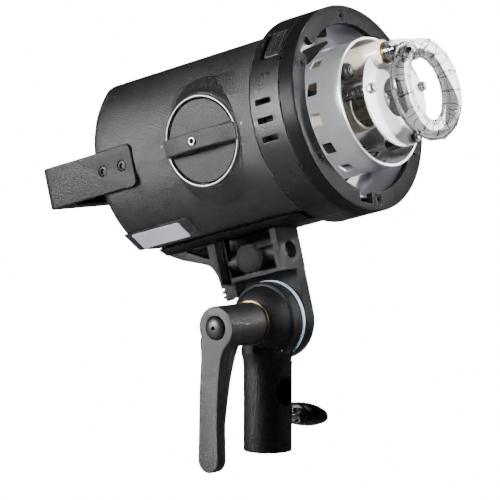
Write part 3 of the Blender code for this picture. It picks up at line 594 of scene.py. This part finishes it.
thread = []
for step in range(13):
    back = 9.6 + step * 1.3
    thread += [(2.62, back), (3.0, back + 0.45), (3.0, back + 0.75), (2.62, back + 1.2)]
finish_piece("socket_screw", lathe([(0, 8.7), (2.3, 8.7), (2.62, 9.2)] + thread + [
    (3.0, 27.0), (5.0, 27.0), (5.2, 27.3), (5.2, 31.0), (4.9, 31.3), (0, 31.3)], "X",
    CLAMP, 48), CHROME, "stand_lock", ["wing_screw"], WORLD)
wing = bmesh.new()
WING = ((0.0, 7.6, 4.5), (4, 7.5, 4.45), (8, 7.0, 4.2), (12, 6.1, 3.7), (16, 4.7, 2.9),
        (18.6, 3.3, 2.0), (20.0, 1.8, 1.1), (20.35, 0.8, 0.5))
wing_rows = []
for along, half, thick in [(-a, h, t) for a, h, t in reversed(WING[1:])] + list(WING):
    row = []
    for step in range(32):
        angle = 2 * pi * step / 32
        c, s = cos(angle), sin(angle)
        across = thick * (abs(c) ** 0.62) * (1 if c > 0 else -1)
        height = half * (abs(s) ** 0.75) * (1 if s > 0 else -1)
        row.append(wing.verts.new((37.1 + across, along, CLAMP[2] + height)))
    wing_rows.append(row)
wing_piece = finish_piece("socket_wing", loft(wing, wing_rows), PLASTIC, "stand_lock",
                          ["wing_knob"], WORLD, 40)
carve(wing_piece, [], [lathe(soft([(0, 31.6), (6.6, 31.6), (7.0, 36), (6.4, 43.2), (0, 43.2)],
                                  0.8), "X", CLAMP, 64)], WORLD, 45)
finish_piece("pivot_brass", lathe(soft([
    (5.3, -18.0), (14.3, -18.0), (14.3, -16.8), (5.3, -16.8)], 0.25), "X", PIVOT, 128), BRASS,
    "stand", ["brass_washer"], WORLD)
washer = finish_piece("pivot_nylon", lathe(soft([
    (5.3, 5.2), (24.75, 5.2), (24.75, 3.6), (25.3, 3.6), (25.3, 6.4), (5.3, 6.4)], 0.2), "X",
    PIVOT, 160), NYLON, "stand", ["friction_washer"], WORLD)
carve(washer, [box((3, 5.15), (-30, 30), (55, 67))], [], WORLD)

lever = [(14.5, 0.0), (14.35, 7.0), (14.1, 15.0), (13.9, 24.0), (13.7, 34.0), (13.3, 46.0),
         (12.7, 56.0), (12.2, 63.0), (12.3, 68.0), (13.0, 73.6)]
lever += arc((0, PIVOT[2]), 13.6, -26, 208, 40)
lever += [(-10.6, 74.5), (-7.6, 71.4), (-5.4, 67.6), (-4.0, 62.5), (-3.2, 57.0), (-2.4, 50.0),
          (-1.9, 42.0), (-1.6, 34.0), (-1.5, 26.0), (-1.55, 16.0), (-1.8, 4.0)]
lever += arc((6.35, -0.4), 8.2, 184, 356, 24)
blade = finish_piece("lever_blade", prism(lever, "X", -53.6, -45.0), LEVER, "tilt_lock",
                     ["tilt_lever"], WORLD)
carve(blade, bevel=1.1, place=WORLD, angle=40)
web = flow([(-29.2, 0, 77), (-31.2, 0, 71), (-34.8, 0, 64), (-38.6, 0, 54), (-41.6, 0, 42),
            (-43.9, 0, 30), (-45.6, 0, 20)], 5)
web = [(-46.5, 77)] + [(p.x, p.z) for p in web] + [(-46.5, 18)]
carve(blade, [lathe(soft([(0, -60), (7.7, -60), (7.7, -50.5), (0, -50.5)], 0.2), "X", PIVOT, 72),
              disc(5.3, -44.6, -18.2, "X", PIVOT, 48)],
      [lathe(soft([(0, -50.0), (13.4, -50.0), (13.4, -18.9), (12.9, -18.3), (0, -18.3)], 0.5),
             "X", PIVOT, 128), prism(web, "Y", -1.2, 11.5)], WORLD, 38)
cap = finish_piece("lever_plug", lathe([
    (0, -50.7), (7.3, -50.7), (7.35, -52.6), (7.2, -53.6), (6.7, -54.5), (5.8, -55.2),
    (4.4, -55.8), (2.6, -56.15), (0, -56.3)], "X", PIVOT, 72), PLASTIC, "tilt_lock",
    ["lever_cap"], WORLD)
carve(cap, [disc(1.35, -60, -53.6, "X", PIVOT, 6)], [], WORLD, 40)

# ------------------------------------------------------------------ bracket under the head

AXIS_Y, AXIS_Z = 94.8, -116.5
NEAR, FAR = -20.0, 3.6
TUBE_X, TUBE_Z = -8.1, -75.7
TUBE = (TUBE_X, 0, TUBE_Z)
SCREW = (0, 95.5, TUBE_Z)
rail = [(-27, -55.8), (27, -55.8), (27, -56.9), (20.6, -60.9), (-20.6, -60.9), (-27, -56.9)]
bracket = finish_piece("bracket_casting", prism(rail, "Y", 41, 159.5), CASTING, "head",
                       ["tilt_bracket"])
carve(bracket, bevel=0.3)
ear = [(69.3, -84)] + arc((AXIS_Y, AXIS_Z), 25.5, 180, 360, 64) + [(120.3, -84)]
slope = flow([(0, 163.6, -60.4), (0, 145.0, -67.3), (0, 129.5, -72.9), (0, 125.6, -75.4),
              (0, 123.0, -79.4), (0, 121.6, -87.0), (0, 120.7, -98.6)], 5)
upper = [(p.y, p.z) for p in slope[:22]]
gusset = [(159.0, -56.6), (159.0, -60.6)] + upper[4:] + [(120.4, -81.4), (119.4, -56.6)]
lower = [(p.y + 4.4, p.z) for p in slope[14:]] + [(119.0, -98.4), (115.4, -88.5), (115.4, -74.0)]
inner = [(159.0, -56.6), (159.0, -60.6)] + upper[4:16] + [(115.4, -88.5), (114.0, -56.6)]
ribs = [prism(gusset, "X", NEAR - 0.2, NEAR + 6.6), prism(inner, "X", FAR - 4.0, FAR - 0.2),
        prism(lower, "X", NEAR + 6.2, NEAR + 9.6)]
window = soft([(144, -61.4), (125.2, -61.4), (125.2, -70.4)], 1.7, 4)
notches = [box((NEAR, NEAR + 12), (123.4, 129), (-91.5 - 3.4 * step, -90.0 - 3.4 * step))
           for step in range(3)]
carve(bracket, [
    box((NEAR - 10, -0.3), (73.7, 115.7), (-85.7, -59.4)),
    box((NEAR - 1, NEAR + 6.2), (111.4, 119.3), (-92.0, -59.4))],
    [box((NEAR, FAR), (69.0, 120.6), (-88.2, -57)), *ribs])
carve(bracket, [prism(window, "X", NEAR - 5, NEAR + 9), *notches],
      [prism(ear, "X", -5.8, FAR - 0.15),
       box((NEAR + 6.6, -4.0), (114.6, 117.6), (-97.6, -86.0)),
       box((NEAR + 6.4, FAR - 0.3), (115.9, 120.4), (-97.4, -57.0))], bevel=0.45, angle=40)
carve(bracket, [
    disc(4.3, 60, 130, "Y", TUBE), disc(5.6, 60, 76, "Y", TUBE),
    disc(2.3, -26, TUBE_X, "X", SCREW, 32), disc(5.3, -20, 10, "X", (0, AXIS_Y, AXIS_Z))],
    [disc(5.9, 72, 117, "Y", TUBE)], angle=40)
screw = finish_piece("umbrella_knob", lathe(soft([
    (0, -22.0), (5.0, -21.6), (9.4, -19.6), (9.4, -14.9), (2.0, -14.9), (2.0, -12.6),
    (0, -12.6)], 1.1), "X", SCREW, 96), RUBBER, "umbrella_lock",
    ["umbrella_screw"])
flutes = arc((SCREW[1], SCREW[2]), 11.0, 30, 330, 5)
carve(screw, [disc(2.6, -30, -12, "X", (0, y, z), 28) for y, z in flutes], bevel=0.4, angle=40)

# ------------------------------------------------------------------ casing

STATIONS = ((34.6, 3.4), (34.6, 0.35), (34.95, 0), (100.0, 0), (159.0, 0), (162.0, 0.4),
            (164.6, 1.3), (166.8, 2.8), (168.5, 4.8), (169.6, 7.0), (170.1, 8.8), (170.1, 10.2),
            (159.8, 10.2), (157.4, 3.4))
walls = bmesh.new()
loft(walls, [[walls.verts.new((x, back, z)) for x, z in body_section(inset)]
             for back, inset in STATIONS], closed=True)
shell = finish_piece("casing", walls, BODY, "head", ["head_shell"])
boss = [(0, -54.6), (40.0, -54.6), (37.4, -57.4), (35.4, -59.6), (33.6, -61.3), (32.1, -62.9),
        (31.0, -64.3), (30.0, -65.3), (29.0, -65.8), (0, -65.8)]
carve(shell, [lathe([(0, -80), (27.0, -80), (27.0, -62.6), (4.35, -62.6), (4.35, -40),
                     (0, -40)], "X", KNOB, 144)]
      + [prism(rounded(60, 27.8, 4.0, (163.0, -3.2), 12), "X", *span(side, 63.5, 80))
         for side in (-1, 1)],
      [lathe(boss, "X", KNOB, 144)], angle=35)

collar = finish_piece("vent_band", lathe([
    (59.6, 11.5), (65.4, 11.5), (65.75, 11.6), (66.0, 11.95), (66.0, 33.95), (65.65, 34.3),
    (46.0, 34.3), (46.0, 31.4), (59.6, 31.4)], "Y", segments=288), COLLAR, "head",
    ["vent_collar"])
slots = []
for side in (-1, 1):
    for index in range(3):
        slot = prism(rounded(12.0, 3.7, 0.8, (24.4, 0)), "X", *span(side, 55, 75))
        slots.append(roll(slot, side * (-10.0 + 10.2 * index)))
slots.append(roll(box((-11.2, 11.2), (13.2, 30.4), (50, 75)), CATCH_DEG))
carve(collar, slots, bevel=0.3)

SCREW_SPOTS = [(x, 0, z) for x, z in arc((0, 0), 58.6, 30, 330, 5)]
ring = finish_piece("ring_plate", lathe([
    (54.1, 0.4), (54.45, 0.05), (64.7, 0), (65.5, 0.25), (65.9, 0.9), (66.0, 1.5),
    (66.0, 10.6), (65.7, 11.0), (60.0, 11.0), (59.0, 4.4), (54.1, 4.4)], "Y", segments=288),
    RING, "head", ["front_ring"])
cuts = [roll(box((-6.4, 6.4), (-2, 6), (50, 61.4)), -(47.5 - 120.0 * i))
        for i in range(3)]
carve(ring, cuts + [lathe([(0, -1), (3.7, -1), (3.7, 0.0), (3.25, 0.45), (3.25, 2.8), (0, 2.8)],
                          "Y", spot, 48) for spot in SCREW_SPOTS], bevel=0.3)
for index, spot in enumerate(SCREW_SPOTS, 1):
    made, cuts = screw_head(2.9, 0.35, 2.5, -1, "Y", spot, 1.35, 1.4)
    carve(finish_piece(f"ring_bolt_{index}", made, STEEL, "head", [f"ring_screw_{index}"]), cuts)

liner = finish_piece("liner", lathe([
    (55.6, 5.2), (56.8, 5.2), (56.8, 31.0), (42.6, 31.0), (42.6, 29.4), (50.0, 29.4),
    (53.2, 29.2), (54.6, 28.5), (55.3, 27.4), (55.6, 26.0)], "Y", segments=192), SILVER,
    "head", ["inner_liner"])
carve(liner, [roll(box((-4.6, 4.6), (13.6, 27.4), (50, 60)), CATCH_DEG)])

slider = finish_piece("catch_button", roll(prism(
    arc((0, 0), 66.2, 80.8, 99.2, 24) + arc((0, 0), 60.2, 99.2, 80.8, 24), "Y", 13.7, 25.2),
    CATCH_DEG), PLASTIC, "catch", ["release_slider"])
carve(slider, bevel=0.5)
carve(slider, [roll(box((-12, 12), (15.6 + 2.0 * i, 16.4 + 2.0 * i), (65.4, 70)), CATCH_DEG)
               for i in range(5)],
      [roll(box((-3.8, 3.8), (14.6, 21.6), (57.2, 61.0)), CATCH_DEG)])
pawl = finish_piece("catch_arm", roll(prism(
    arc((0, 0), 55.0, 42, 95, 40) + arc((0, 0), 49.2, 95, 42, 40), "Y", 14.6, 18.6),
    CATCH_DEG), CATCH, "catch", ["lock_pawl"])
carve(pawl, bevel=0.8)
finger = soft([(44.0, 29.5), (41.5, 35.0), (36.0, 38.6), (26.0, 41.2), (12.0, 44.2),
               (11.0, 42.8), (20.5, 38.6), (27.0, 34.6), (38.0, 29.0)], 0.8, 2)
finger = [(-x, z) for x, z in finger]
carve(pawl, [], [roll(box((-3.8, 3.8), (14.9, 21.4), (53.5, 56.9)), CATCH_DEG),
                 prism(finger, "Y", 5.7, 10.6),
                 prism([(-42.6, 31.0), (-38.6, 35.6), (-34.0, 38.2), (-34.4, 34.6), (-38.4, 31.2)],
                       "Y", 10.0, 16.0)], angle=38)

# ------------------------------------------------------------------ lamp carriage

barrel = finish_piece("barrel", lathe([
    (39.5, -15.7), (39.8, -16.0), (41.0, -16.0), (41.3, -15.7), (41.3, -14.6), (41.0, -14.2),
    (40.7, -14.0), (40.7, 44.0), (39.5, 44.0)], "Y", segments=208), BARREL, "lamp_carriage",
    ["reflector_barrel"])
HOLES = 13
carve(barrel, [roll(prism(rounded(8.2, 8.2, 0.9, (6.0, 0)), "X", -46, -35),
                    19.5 - 360.0 * index / HOLES) for index in range(HOLES)], angle=28)

LEGS = ((-27.0, 5.6), (28.2, 5.6), (10.0, -26.4))
LOOP_R, LOOP_Y = 26.6, -51.2
POSTS = ((-9.6, LOOP_R), (9.6, LOOP_R))
plate = finish_piece("reflector_disc", lathe(soft([
    (12.5, -28.2), (31.5, -28.2), (31.5, -26.7), (12.5, -26.7)], 0.35), "Y", segments=160),
    ENAMEL, "lamp_carriage", ["white_reflector"])
carve(plate, [disc(8.9, -35, -20, "Y", (x, 0, z), 72) for x, z in POSTS]
      + [disc(1.8, -35, -20, "Y", (x, 0, z), 24) for x, z in LEGS]
      + [disc(2.2, -35, -20, "Y", (18.0, 0, -26.0), 32)])
for index, (x, z) in enumerate(LEGS, 1):
    finish_piece(f"leg_{index}", lathe(soft([
        (0, -32.2), (1.5, -32.2), (1.5, -26.4), (2.6, -26.4), (2.6, 40.1), (0, 40.1)], 0.3),
        "Y", (x, 0, z), 40), CHROME, "lamp_carriage", [f"standoff_{index}"])
    finish_piece(f"leg_nut_{index}", disc(3.3, -31.2, -28.5, "Y", (x, 0, z), 6), SPRING,
                 "lamp_carriage")
    if index != 2:
        finish_piece(f"leg_spring_{index}", coil((x, -25.8, z), (x, -8.0, z), 3.4, 0.42, 10),
                     SPRING, "lamp_carriage")
for index, (x, z) in enumerate(POSTS, 1):
    finish_piece(f"ceramic_{index}", lathe(soft([
        (0, 40.1), (7.0, 40.1), (7.0, 4.0), (8.3, -6.0), (8.6, -33.4), (8.0, -34.4),
        (6.7, -34.4), (6.7, -26.0), (0, -26.0)], 0.5), "Y", (x, 0, z), 96), CERAMIC,
        "lamp_carriage", [f"tube_post_{index}"])
    finish_piece(f"ferrule_{index}", lathe(soft([
        (5.95, -36.4), (6.6, -36.4), (6.6, -30.0), (5.95, -30.0)], 0.2), "Y", (x, 0, z), 64),
        BRASS, "lamp_carriage")


def loop_point(degrees, out=0.0, forward=0.0):
    """A point on the loop's centre line, moved out from the loop's centre or forwards."""
    angle = radians(degrees)
    reach = LOOP_R + out
    return Vector((reach * cos(angle), LOOP_Y - forward, reach * sin(angle)))


rise = [(9.6, -27.0, 26.6), (9.6, -32.0, 26.6), (9.6, -37.0, 26.6), (9.6, -41.0, 26.6),
        (9.7, -44.6, 26.4), (10.3, -48.0, 25.7)]
loop = [(-x, y, z) for x, y, z in rise]
for step in range(29):
    ends = max(0.0, 1 - step / 2) + max(0.0, 1 - (28 - step) / 2)
    loop.append(loop_point(116 + 11 * step, forward=-0.9 * ends))
path = flow(loop + rise[::-1], 4)
finish_piece("flash_ring", merge(
    sweep(path, 6.2, 40), sweep(path[2:-2], 4.8, 40, flip=True)), GLASS, "lamp_carriage",
    ["flash_tube"], angle=60, turn_out=False)

# The electrodes and clips, the trigger wire wound round the loop, and the pips that sealed it.
for index, (x, z) in enumerate(POSTS, 1):
    finish_piece(f"electrode_{index}", merge(
        disc(0.7, -38.0, -27.5, "Y", (x, 0, z), 20),
        lathe(soft([(0, -43.0), (2.3, -43.0), (2.3, -37.6), (0, -37.6)], 0.5), "Y",
              (x, 0, z), 36)), STEEL, "lamp_carriage")
    clip = []
    for step in range(60):
        turn = 2 * pi * step / 20
        clip.append(Vector((x + 6.55 * cos(turn), -37.2 - 0.07 * step, z + 6.55 * sin(turn))))
    finish_piece(f"tube_clip_{index}", sweep(clip, 0.35, 10), CHROME, "lamp_carriage", angle=60)


def hoop(degrees, lean):
    """A turn of wire round the glass."""
    centre = loop_point(degrees)
    outward = Vector((cos(radians(degrees)), 0, sin(radians(degrees))))
    along = Vector((-outward.z, 0, outward.x))
    path = []
    for step in range(48):
        turn = 2 * pi * step / 48
        path.append(centre + 6.32 * (cos(turn) * outward + sin(turn) * Vector((0, 1, 0)))
                    + lean * sin(turn + 0.8) * along)
    return path


wires = [sweep(hoop(118 + 23.7 * step, 0.7 - 0.1 * (step % 3)), 0.23, 8, closed=True)
         for step in range(14)]
wires.append(sweep([loop_point(118 + 25.675 * step, 4.47, -4.47) for step in range(25)], 0.2, 8))
finish_piece("trigger_wire", merge(*wires), WIRE, "lamp_carriage", angle=60)
pips = bmesh.new()
for step in range(7):
    spot = Matrix.Translation(loop_point(141.7 + 47.4 * step, 6.0))
    bmesh.ops.create_uvsphere(pips, u_segments=20, v_segments=12, radius=1.25, matrix=spot)
finish_piece("glass_pips", pips, GLASS, "lamp_carriage", angle=60)

# ------------------------------------------------------------------ modelling lamp and its seat

bulb = [(0, 8.7), (8.4, 8.7), (9.3, 4.4), (9.65, -1.0), (9.6, -8.6), (9.2, -12.0), (8.3, -15.0),
        (6.9, -17.5), (5.0, -19.5), (2.6, -20.8), (0, -21.2)]
inside = [(0, -20.2), (2.3, -19.9), (4.5, -18.8), (6.3, -17.0), (7.6, -14.7), (8.4, -11.9),
          (8.8, -8.6), (8.85, -1.0), (8.5, 4.2), (7.7, 7.6), (0, 7.6)]
outside_glass, inside_glass = lathe(bulb, "Y", segments=64), lathe(inside, "Y", segments=64)
for made in (outside_glass, inside_glass):
    bmesh.ops.recalc_face_normals(made, faces=made.faces)
bmesh.ops.reverse_faces(inside_glass, faces=inside_glass.faces)
finish_piece("lamp_bulb", merge(outside_glass, inside_glass), LAMP, "lamp_carriage",
             ["modelling_lamp"], angle=60, turn_out=False)
stem = [Vector((3.6, 6.0, 0)), Vector((3.4, -2.0, 0)), Vector((2.6, -9.0, 0))]
filament = [Vector((-point.x, point.y, 0)) for point in stem]
for step in range(73):
    turn = 2 * pi * step / 8
    filament.append(Vector((-2.6 + 5.2 * step / 72, -10.2 + 0.7 * cos(turn), 0.7 * sin(turn))))
filament += stem[::-1]
finish_piece("filament", sweep(filament, 0.24, 8), CHROME, "lamp_carriage", angle=60)
finish_piece("lamp_seat", lathe(soft([
    (0, 40.1), (9.0, 40.1), (9.0, 16.0), (15.2, 10.0), (15.2, -4.0), (13.4, -4.0), (12.4, 9.0),
    (0, 9.0)], 0.6), "Y", segments=96), CERAMIC, "lamp_carriage", ["lamp_socket"])
SWITCH = (-23.2, 0, 20.4)
finish_piece("thermostat", lathe(soft([
    (0, -14.8), (4.6, -14.4), (5.4, -12.6), (5.4, -9.2), (3.2, -8.4), (1.5, -8.0), (1.5, 40.0),
    (0, 40.0)], 0.7), "Y", SWITCH, 48), PLASTIC, "lamp_carriage")
finish_piece("thermostat_button", lathe(soft([
    (0, -17.0), (2.5, -16.4), (3.0, -14.9), (0, -14.9)], 0.5), "Y", SWITCH, 40), CHROME,
    "lamp_carriage")
LEADS = (((-12, 40, 10), (-20, 22, 13), (-26, 8, 8), (-29, 24, -2), (-24, 39.5, -9)),
         ((9, 40, -14), (17, 20, -21), (12, 2, -30), (2, 16, -33), (-4, 39.5, -25)))
for index, lead in enumerate(LEADS, 1):
    finish_piece(f"lamp_lead_{index}", sweep(flow(lead, 12), 1.1, 16), PLASTIC, "lamp_carriage",
                 angle=60)
for index, spot in enumerate(((-20.0, 0, -27.0), (25.0, 0, 24.0)), 1):
    finish_piece(f"rod_{index}", lathe(soft([
        (0, 28.0), (2.5, 28.0), (2.5, 94.2), (0, 94.2)], 0.4), "Y", spot, 48), CHROME, "head",
        [f"guide_rod_{index}"])

# ------------------------------------------------------------------ zoom knob

knob = finish_piece("zoom_dial", lathe([
    (0, -62.9), (26.2, -62.9), (26.2, -65.9), (25.9, -66.3), (25.6, -66.4), (0, -66.4)], "X",
    KNOB, 192), GREY, "zoom", ["zoom_knob"])
carve(knob, [box((-70, -65.1), (KNOB_Y - 30, KNOB_Y + 30), (KNOB_Z + low, KNOB_Z + high))
             for low, high in ((6.2, 6.9), (-6.95, -6.15))], angle=35)


def bar_top(along):
    """How far out the bar's face is: bowed along its length, and dipping at its front end."""
    height = -76.2 + 5.2 * (along / 28.2) ** 2
    if along < -20.0:
        height += 2.6 * ((-20.0 - along) / 8.2) ** 1.5
    return height


bar = bmesh.new()
rows = []
for step in range(65):
    along = -28.2 + 56.4 * step / 64
    top = bar_top(along)
    outline = [(-64.6, -6.1), (-64.6, 6.1)]
    for turn in range(7):
        angle = radians(15 * turn)
        outline.append((top + 0.9 * (1 - sin(angle)), 5.9 - 0.9 * (1 - cos(angle))))
    for turn in range(7):
        angle = radians(15 * turn)
        outline.append((top + 1.2 * (1 - cos(angle)), -4.0 - 1.2 * sin(angle)))
    rows.append([bar.verts.new((x, KNOB_Y + along, KNOB_Z + z)) for x, z in outline])
bar_piece = finish_piece("dial_bar", loft(bar, rows), GREY, "zoom")
carve(bar_piece, [
    lathe([(28.2, -90), (40, -90), (40, -60), (28.2, -60)], "X", KNOB, 160),
    disc(1.3, -80, -73.5, "X", KNOB, 32),
    box((-72.0, -60), (KNOB_Y + 26.4, KNOB_Y + 32), (KNOB_Z - 9, KNOB_Z + 9))])
finish_piece("dial_bezel", lathe([
    (27.3, -66.0), (29.0, -66.0), (29.05, -66.6), (28.85, -67.05), (28.4, -67.35),
    (27.8, -67.4), (27.35, -67.2), (27.25, -66.7)], "X", KNOB, 192), BEZEL, "head",
    ["knob_bezel"])
finish_piece("dial_screw", lathe(soft([
    (1.35, -77.1), (2.7, -77.1), (2.7, -76.2), (1.35, -76.2)], 0.25), "X", KNOB, 64), SPRING,
    "zoom", ["knob_screw"])
for index, y in enumerate((43.0, 108.4), 1):
    finish_piece(f"dial_mark_{index}", roll(
        box((-66.13, -66.02), (y - 0.5, y + 0.5), (-0.6, 0.6)), 2.0), MARK, "head")

# ------------------------------------------------------------------ handle and label

IN_Y, OUT_Y, SIDE_X, TIP_Y = 197.0, 213.5, 67.4, 133.6
LOW_Z, HIGH_Z = -16.4, 10.0
BOLT_Y, BOLT_Z = (142.8, 159.0), -2.4
CUT = 3.4
inner_side = [(63.8, TIP_Y), (63.8, 168.0), (63.3, 170.6), (62.2, 172.8), (61.4, 175.6)]
outline = [(-SIDE_X, TIP_Y)]
outline += arc((-SIDE_X + 10, OUT_Y - 10), 10, 180, 90, 16)
outline += arc((SIDE_X - 10, OUT_Y - 10), 10, 90, 0, 16)
outline += [(SIDE_X, TIP_Y)] + inner_side
outline += arc((61.4 - 7, IN_Y - 7), 7, 0, 90, 12)
outline += arc((-61.4 + 7, IN_Y - 7), 7, 90, 180, 12)
outline += [(-x, y) for x, y in reversed(inner_side)]
grab = finish_piece("handle_bar", prism(outline, "Z", LOW_Z, HIGH_Z), HANDLE, "head", ["handle"])
corners = []
for side in (-1, 1):
    for z, sign in ((HIGH_Z, 1), (LOW_Z, -1)):
        tip = [(TIP_Y - 0.5, z + sign * 0.5), (TIP_Y, z - sign * CUT)]
        tip += [(TIP_Y + CUT * (1 - cos(radians(a))), z - sign * CUT * (1 - sin(radians(a))))
                for a in range(10, 91, 10)]
        corners.append(prism(tip, "X", *span(side, 60, 75)))
carve(grab, corners, angle=35)
carve(grab, bevel=1.5, angle=40)
carve(grab, [disc(3.6, *span(side, 65.4, 75), "X", (0, back, BOLT_Z), 48)
             for side in (-1, 1) for back in BOLT_Y], bevel=0.25, angle=40)
number = 0
for side in (-1, 1):
    for back in BOLT_Y:
        number += 1
        made, cuts = screw_head(3.2, *span(side, 65.7, 67.2), side, "X", (0, back, BOLT_Z), 1.6,
                                1.1)
        carve(finish_piece(f"handle_bolt_{number}", made, STEEL, "head",
                           [f"handle_screw_{number}"]), cuts)
pad = finish_piece("grip_pad", box((-44, 44), (194.4, 196.7), (-13.6, 7.2)), RUBBER, "head",
                   ["handle_grip"])
carve(pad, bevel=0.7)
carve(pad, [prism(rounded(2.6, 15.6, 1.2, (-35.0 + 7.0 * i, -3.2)), "Y", 193, 195.3)
            for i in range(11)], angle=40)
for index, side in enumerate((-1, 1), 1):
    studs = [lathe(soft([(0, -16.2), (1.5, -16.2), (1.5, -17.0), (0, -17.0)], 0.2), "Z",
                   (side * 65.6, back, 0), 24) for back in (139.0, 142.6)]
    finish_piece(f"handle_stud_{index}", merge(*studs), PLASTIC, "head")

LABEL_DEG = -48.2
tag = roll(prism(rounded(39.6, 14.0, 1.0, (141.2, 0)), "X", -66.65, -66.25), LABEL_DEG)
finish_piece("label_card", tag, LABEL, "head", ["label_plate"])
edge = roll(prism(rounded(54.0, 17.0, 1.5, (139.4, 0.4)), "X", -66.24, -66.02), LABEL_DEG)
finish_piece("label_backing", edge, STICKER, "head")

# ------------------------------------------------------------------ camera, floor and light

AZIMUTH, ELEVATION = radians(52.3467), radians(5.0)
BACK = Vector((-sin(AZIMUTH) * cos(ELEVATION), -cos(AZIMUTH) * cos(ELEVATION), sin(ELEVATION)))
RIGHT = Vector((cos(AZIMUTH), -sin(AZIMUTH), 0))
CAM_UP = BACK.cross(RIGHT)
camera_data = bpy.data.cameras.new("camera")
camera_data.lens = 192.43
camera_data.sensor_width = 36
camera_data.clip_start = 0.05
camera_data.clip_end = 60
camera = bpy.data.objects.new("camera", camera_data)
bpy.context.scene.collection.objects.link(camera)
spot = FACE + (BACK * 1663.093 - RIGHT * 68.3445 - CAM_UP * 88.7739) * MM
camera.matrix_world = Matrix(((RIGHT.x, CAM_UP.x, BACK.x, spot.x),
                              (RIGHT.y, CAM_UP.y, BACK.y, spot.y),
                              (RIGHT.z, CAM_UP.z, BACK.z, spot.z), (0, 0, 0, 1)))
bpy.context.scene.camera = camera

FLOOR_Z = -0.42
floor_mesh = bmesh.new()
bmesh.ops.create_grid(floor_mesh, x_segments=2, y_segments=2, size=30)
for vert in floor_mesh.verts:
    vert.co.z = FLOOR_Z
floor_data = bpy.data.meshes.new("floor")
floor_mesh.to_mesh(floor_data)
floor_mesh.free()
floor = bpy.data.objects.new("floor", floor_data)
bpy.context.scene.collection.objects.link(floor)
n = Nodes("pale_floor")
n.shader.inputs["Roughness"].default_value = 0.8
n.link(n.mix(n.ramp(n.noise(3.0, 3.0), 0.3, 0.7), (0.30, 0.30, 0.31), (0.36, 0.36, 0.37)),
       n.shader.inputs["Base Color"])
glow = n.add("Emission")
glow.inputs["Color"].default_value = (1, 1, 1, 1)
glow.inputs["Strength"].default_value = 16.0
blend = n.add("MixShader")
n.link(n.add("LightPath").outputs["Is Camera Ray"], blend.inputs[0])
n.link(n.shader.outputs[0], blend.inputs[1])
n.link(glow.outputs[0], blend.inputs[2])
n.link(blend.outputs[0], n.tree.nodes["Material Output"].inputs["Surface"])
floor_data.materials.append(n.material)

world = bpy.data.worlds.new("studio")
bpy.context.scene.world = world
world.use_nodes = True
tree = world.node_tree
link = tree.links.new


def world_node(kind, **sockets):
    node = tree.nodes.new("ShaderNode" + kind)
    for name, value in sockets.items():
        node.inputs[name].default_value = value
    return node


def world_mix(factor, first, second):
    node = world_node("MixShader")
    link(factor, node.inputs[0])
    link(first.outputs[0], node.inputs[1])
    link(second.outputs[0], node.inputs[2])
    return node


# The backdrop: white to the eye, bright behind the lamp through its glass, dim as a light.
rays = world_node("LightPath")
direction = world_node("TexCoord")
facing = world_node("VectorMath")
facing.operation = "DOT_PRODUCT"
link(direction.outputs["Generated"], facing.inputs[0])
facing.inputs[1].default_value = (0.789, 0.609, -0.087)
lobe = world_node("MapRange", **{"From Min": 0.35, "From Max": 0.9, "To Min": 0.08,
                                 "To Max": 5.6})
link(facing.outputs["Value"], lobe.inputs["Value"])
through = world_node("Background", Color=(1, 1, 1, 1))
link(lobe.outputs["Result"], through.inputs["Strength"])
ambient = tree.nodes["Background"]
ambient.inputs["Color"].default_value = (0.82, 0.87, 0.95, 1)
ambient.inputs["Strength"].default_value = 0.02
height = world_node("SeparateXYZ")
link(direction.outputs["Generated"], height.inputs[0])
sheen = world_node("MapRange", **{"From Min": -0.2, "From Max": 0.9, "To Min": 0.02,
                                  "To Max": 0.06})
link(height.outputs["Z"], sheen.inputs["Value"])
mirrored = world_node("Background", Color=(0.9, 0.94, 1.0, 1))
link(sheen.outputs["Result"], mirrored.inputs["Strength"])
white = world_node("Background", Color=(1, 1, 1, 1), Strength=16.0)
lit = world_mix(rays.outputs["Is Glossy Ray"], ambient, mirrored)
lit = world_mix(rays.outputs["Transmission Depth"], lit, through)
shown = world_mix(rays.outputs["Is Camera Ray"], lit, white)
link(shown.outputs[0], tree.nodes["World Output"].inputs["Surface"])


def lamp(name, kind, at, aim, **values):
    """A light at one point, turned to another."""
    data = bpy.data.lights.new(name, kind)
    for key, value in values.items():
        setattr(data, key, value)
    light = bpy.data.objects.new(name, data)
    bpy.context.scene.collection.objects.link(light)
    light.location = at
    light.rotation_euler = (Vector(aim) - Vector(at)).to_track_quat("-Z", "Y").to_euler()


MIDDLE = (0.0, 0.0, 0.2)
for name, at, width, height, power, color in (
        ("left_back", (-1.25, 0.85, 0.40), 0.5, 0.42, 60, (0.97, 0.985, 1.0)),
        ("right_front", (1.2, -1.05, 0.6), 0.7, 0.7, 6, (1, 1, 1)),
        ("front_left", (-1.1, -1.3, 1.0), 0.5, 0.5, 1.5, (1, 1, 1)),
        ("overhead", (0.2, 0.2, 1.7), 0.3, 1.0, 1.3, (1, 1, 1))):
    lamp(name, "AREA", at, MIDDLE, shape="RECTANGLE", size=width, size_y=height, energy=power,
         color=color)

# Two narrow lights kept to the inside of the ring.
PLATE_SPOT = HEAD @ (Vector((-6, -20, 4)) * MM)
for name, at, power in (("snoot_left", (-0.75, -1.35, 0.62), 3300),
                        ("snoot_right", (0.75, -1.35, 0.75), 2100)):
    lamp(name, "SPOT", at, PLATE_SPOT, spot_size=radians(2.8), spot_blend=0.35,
         shadow_soft_size=0.12, energy=power)
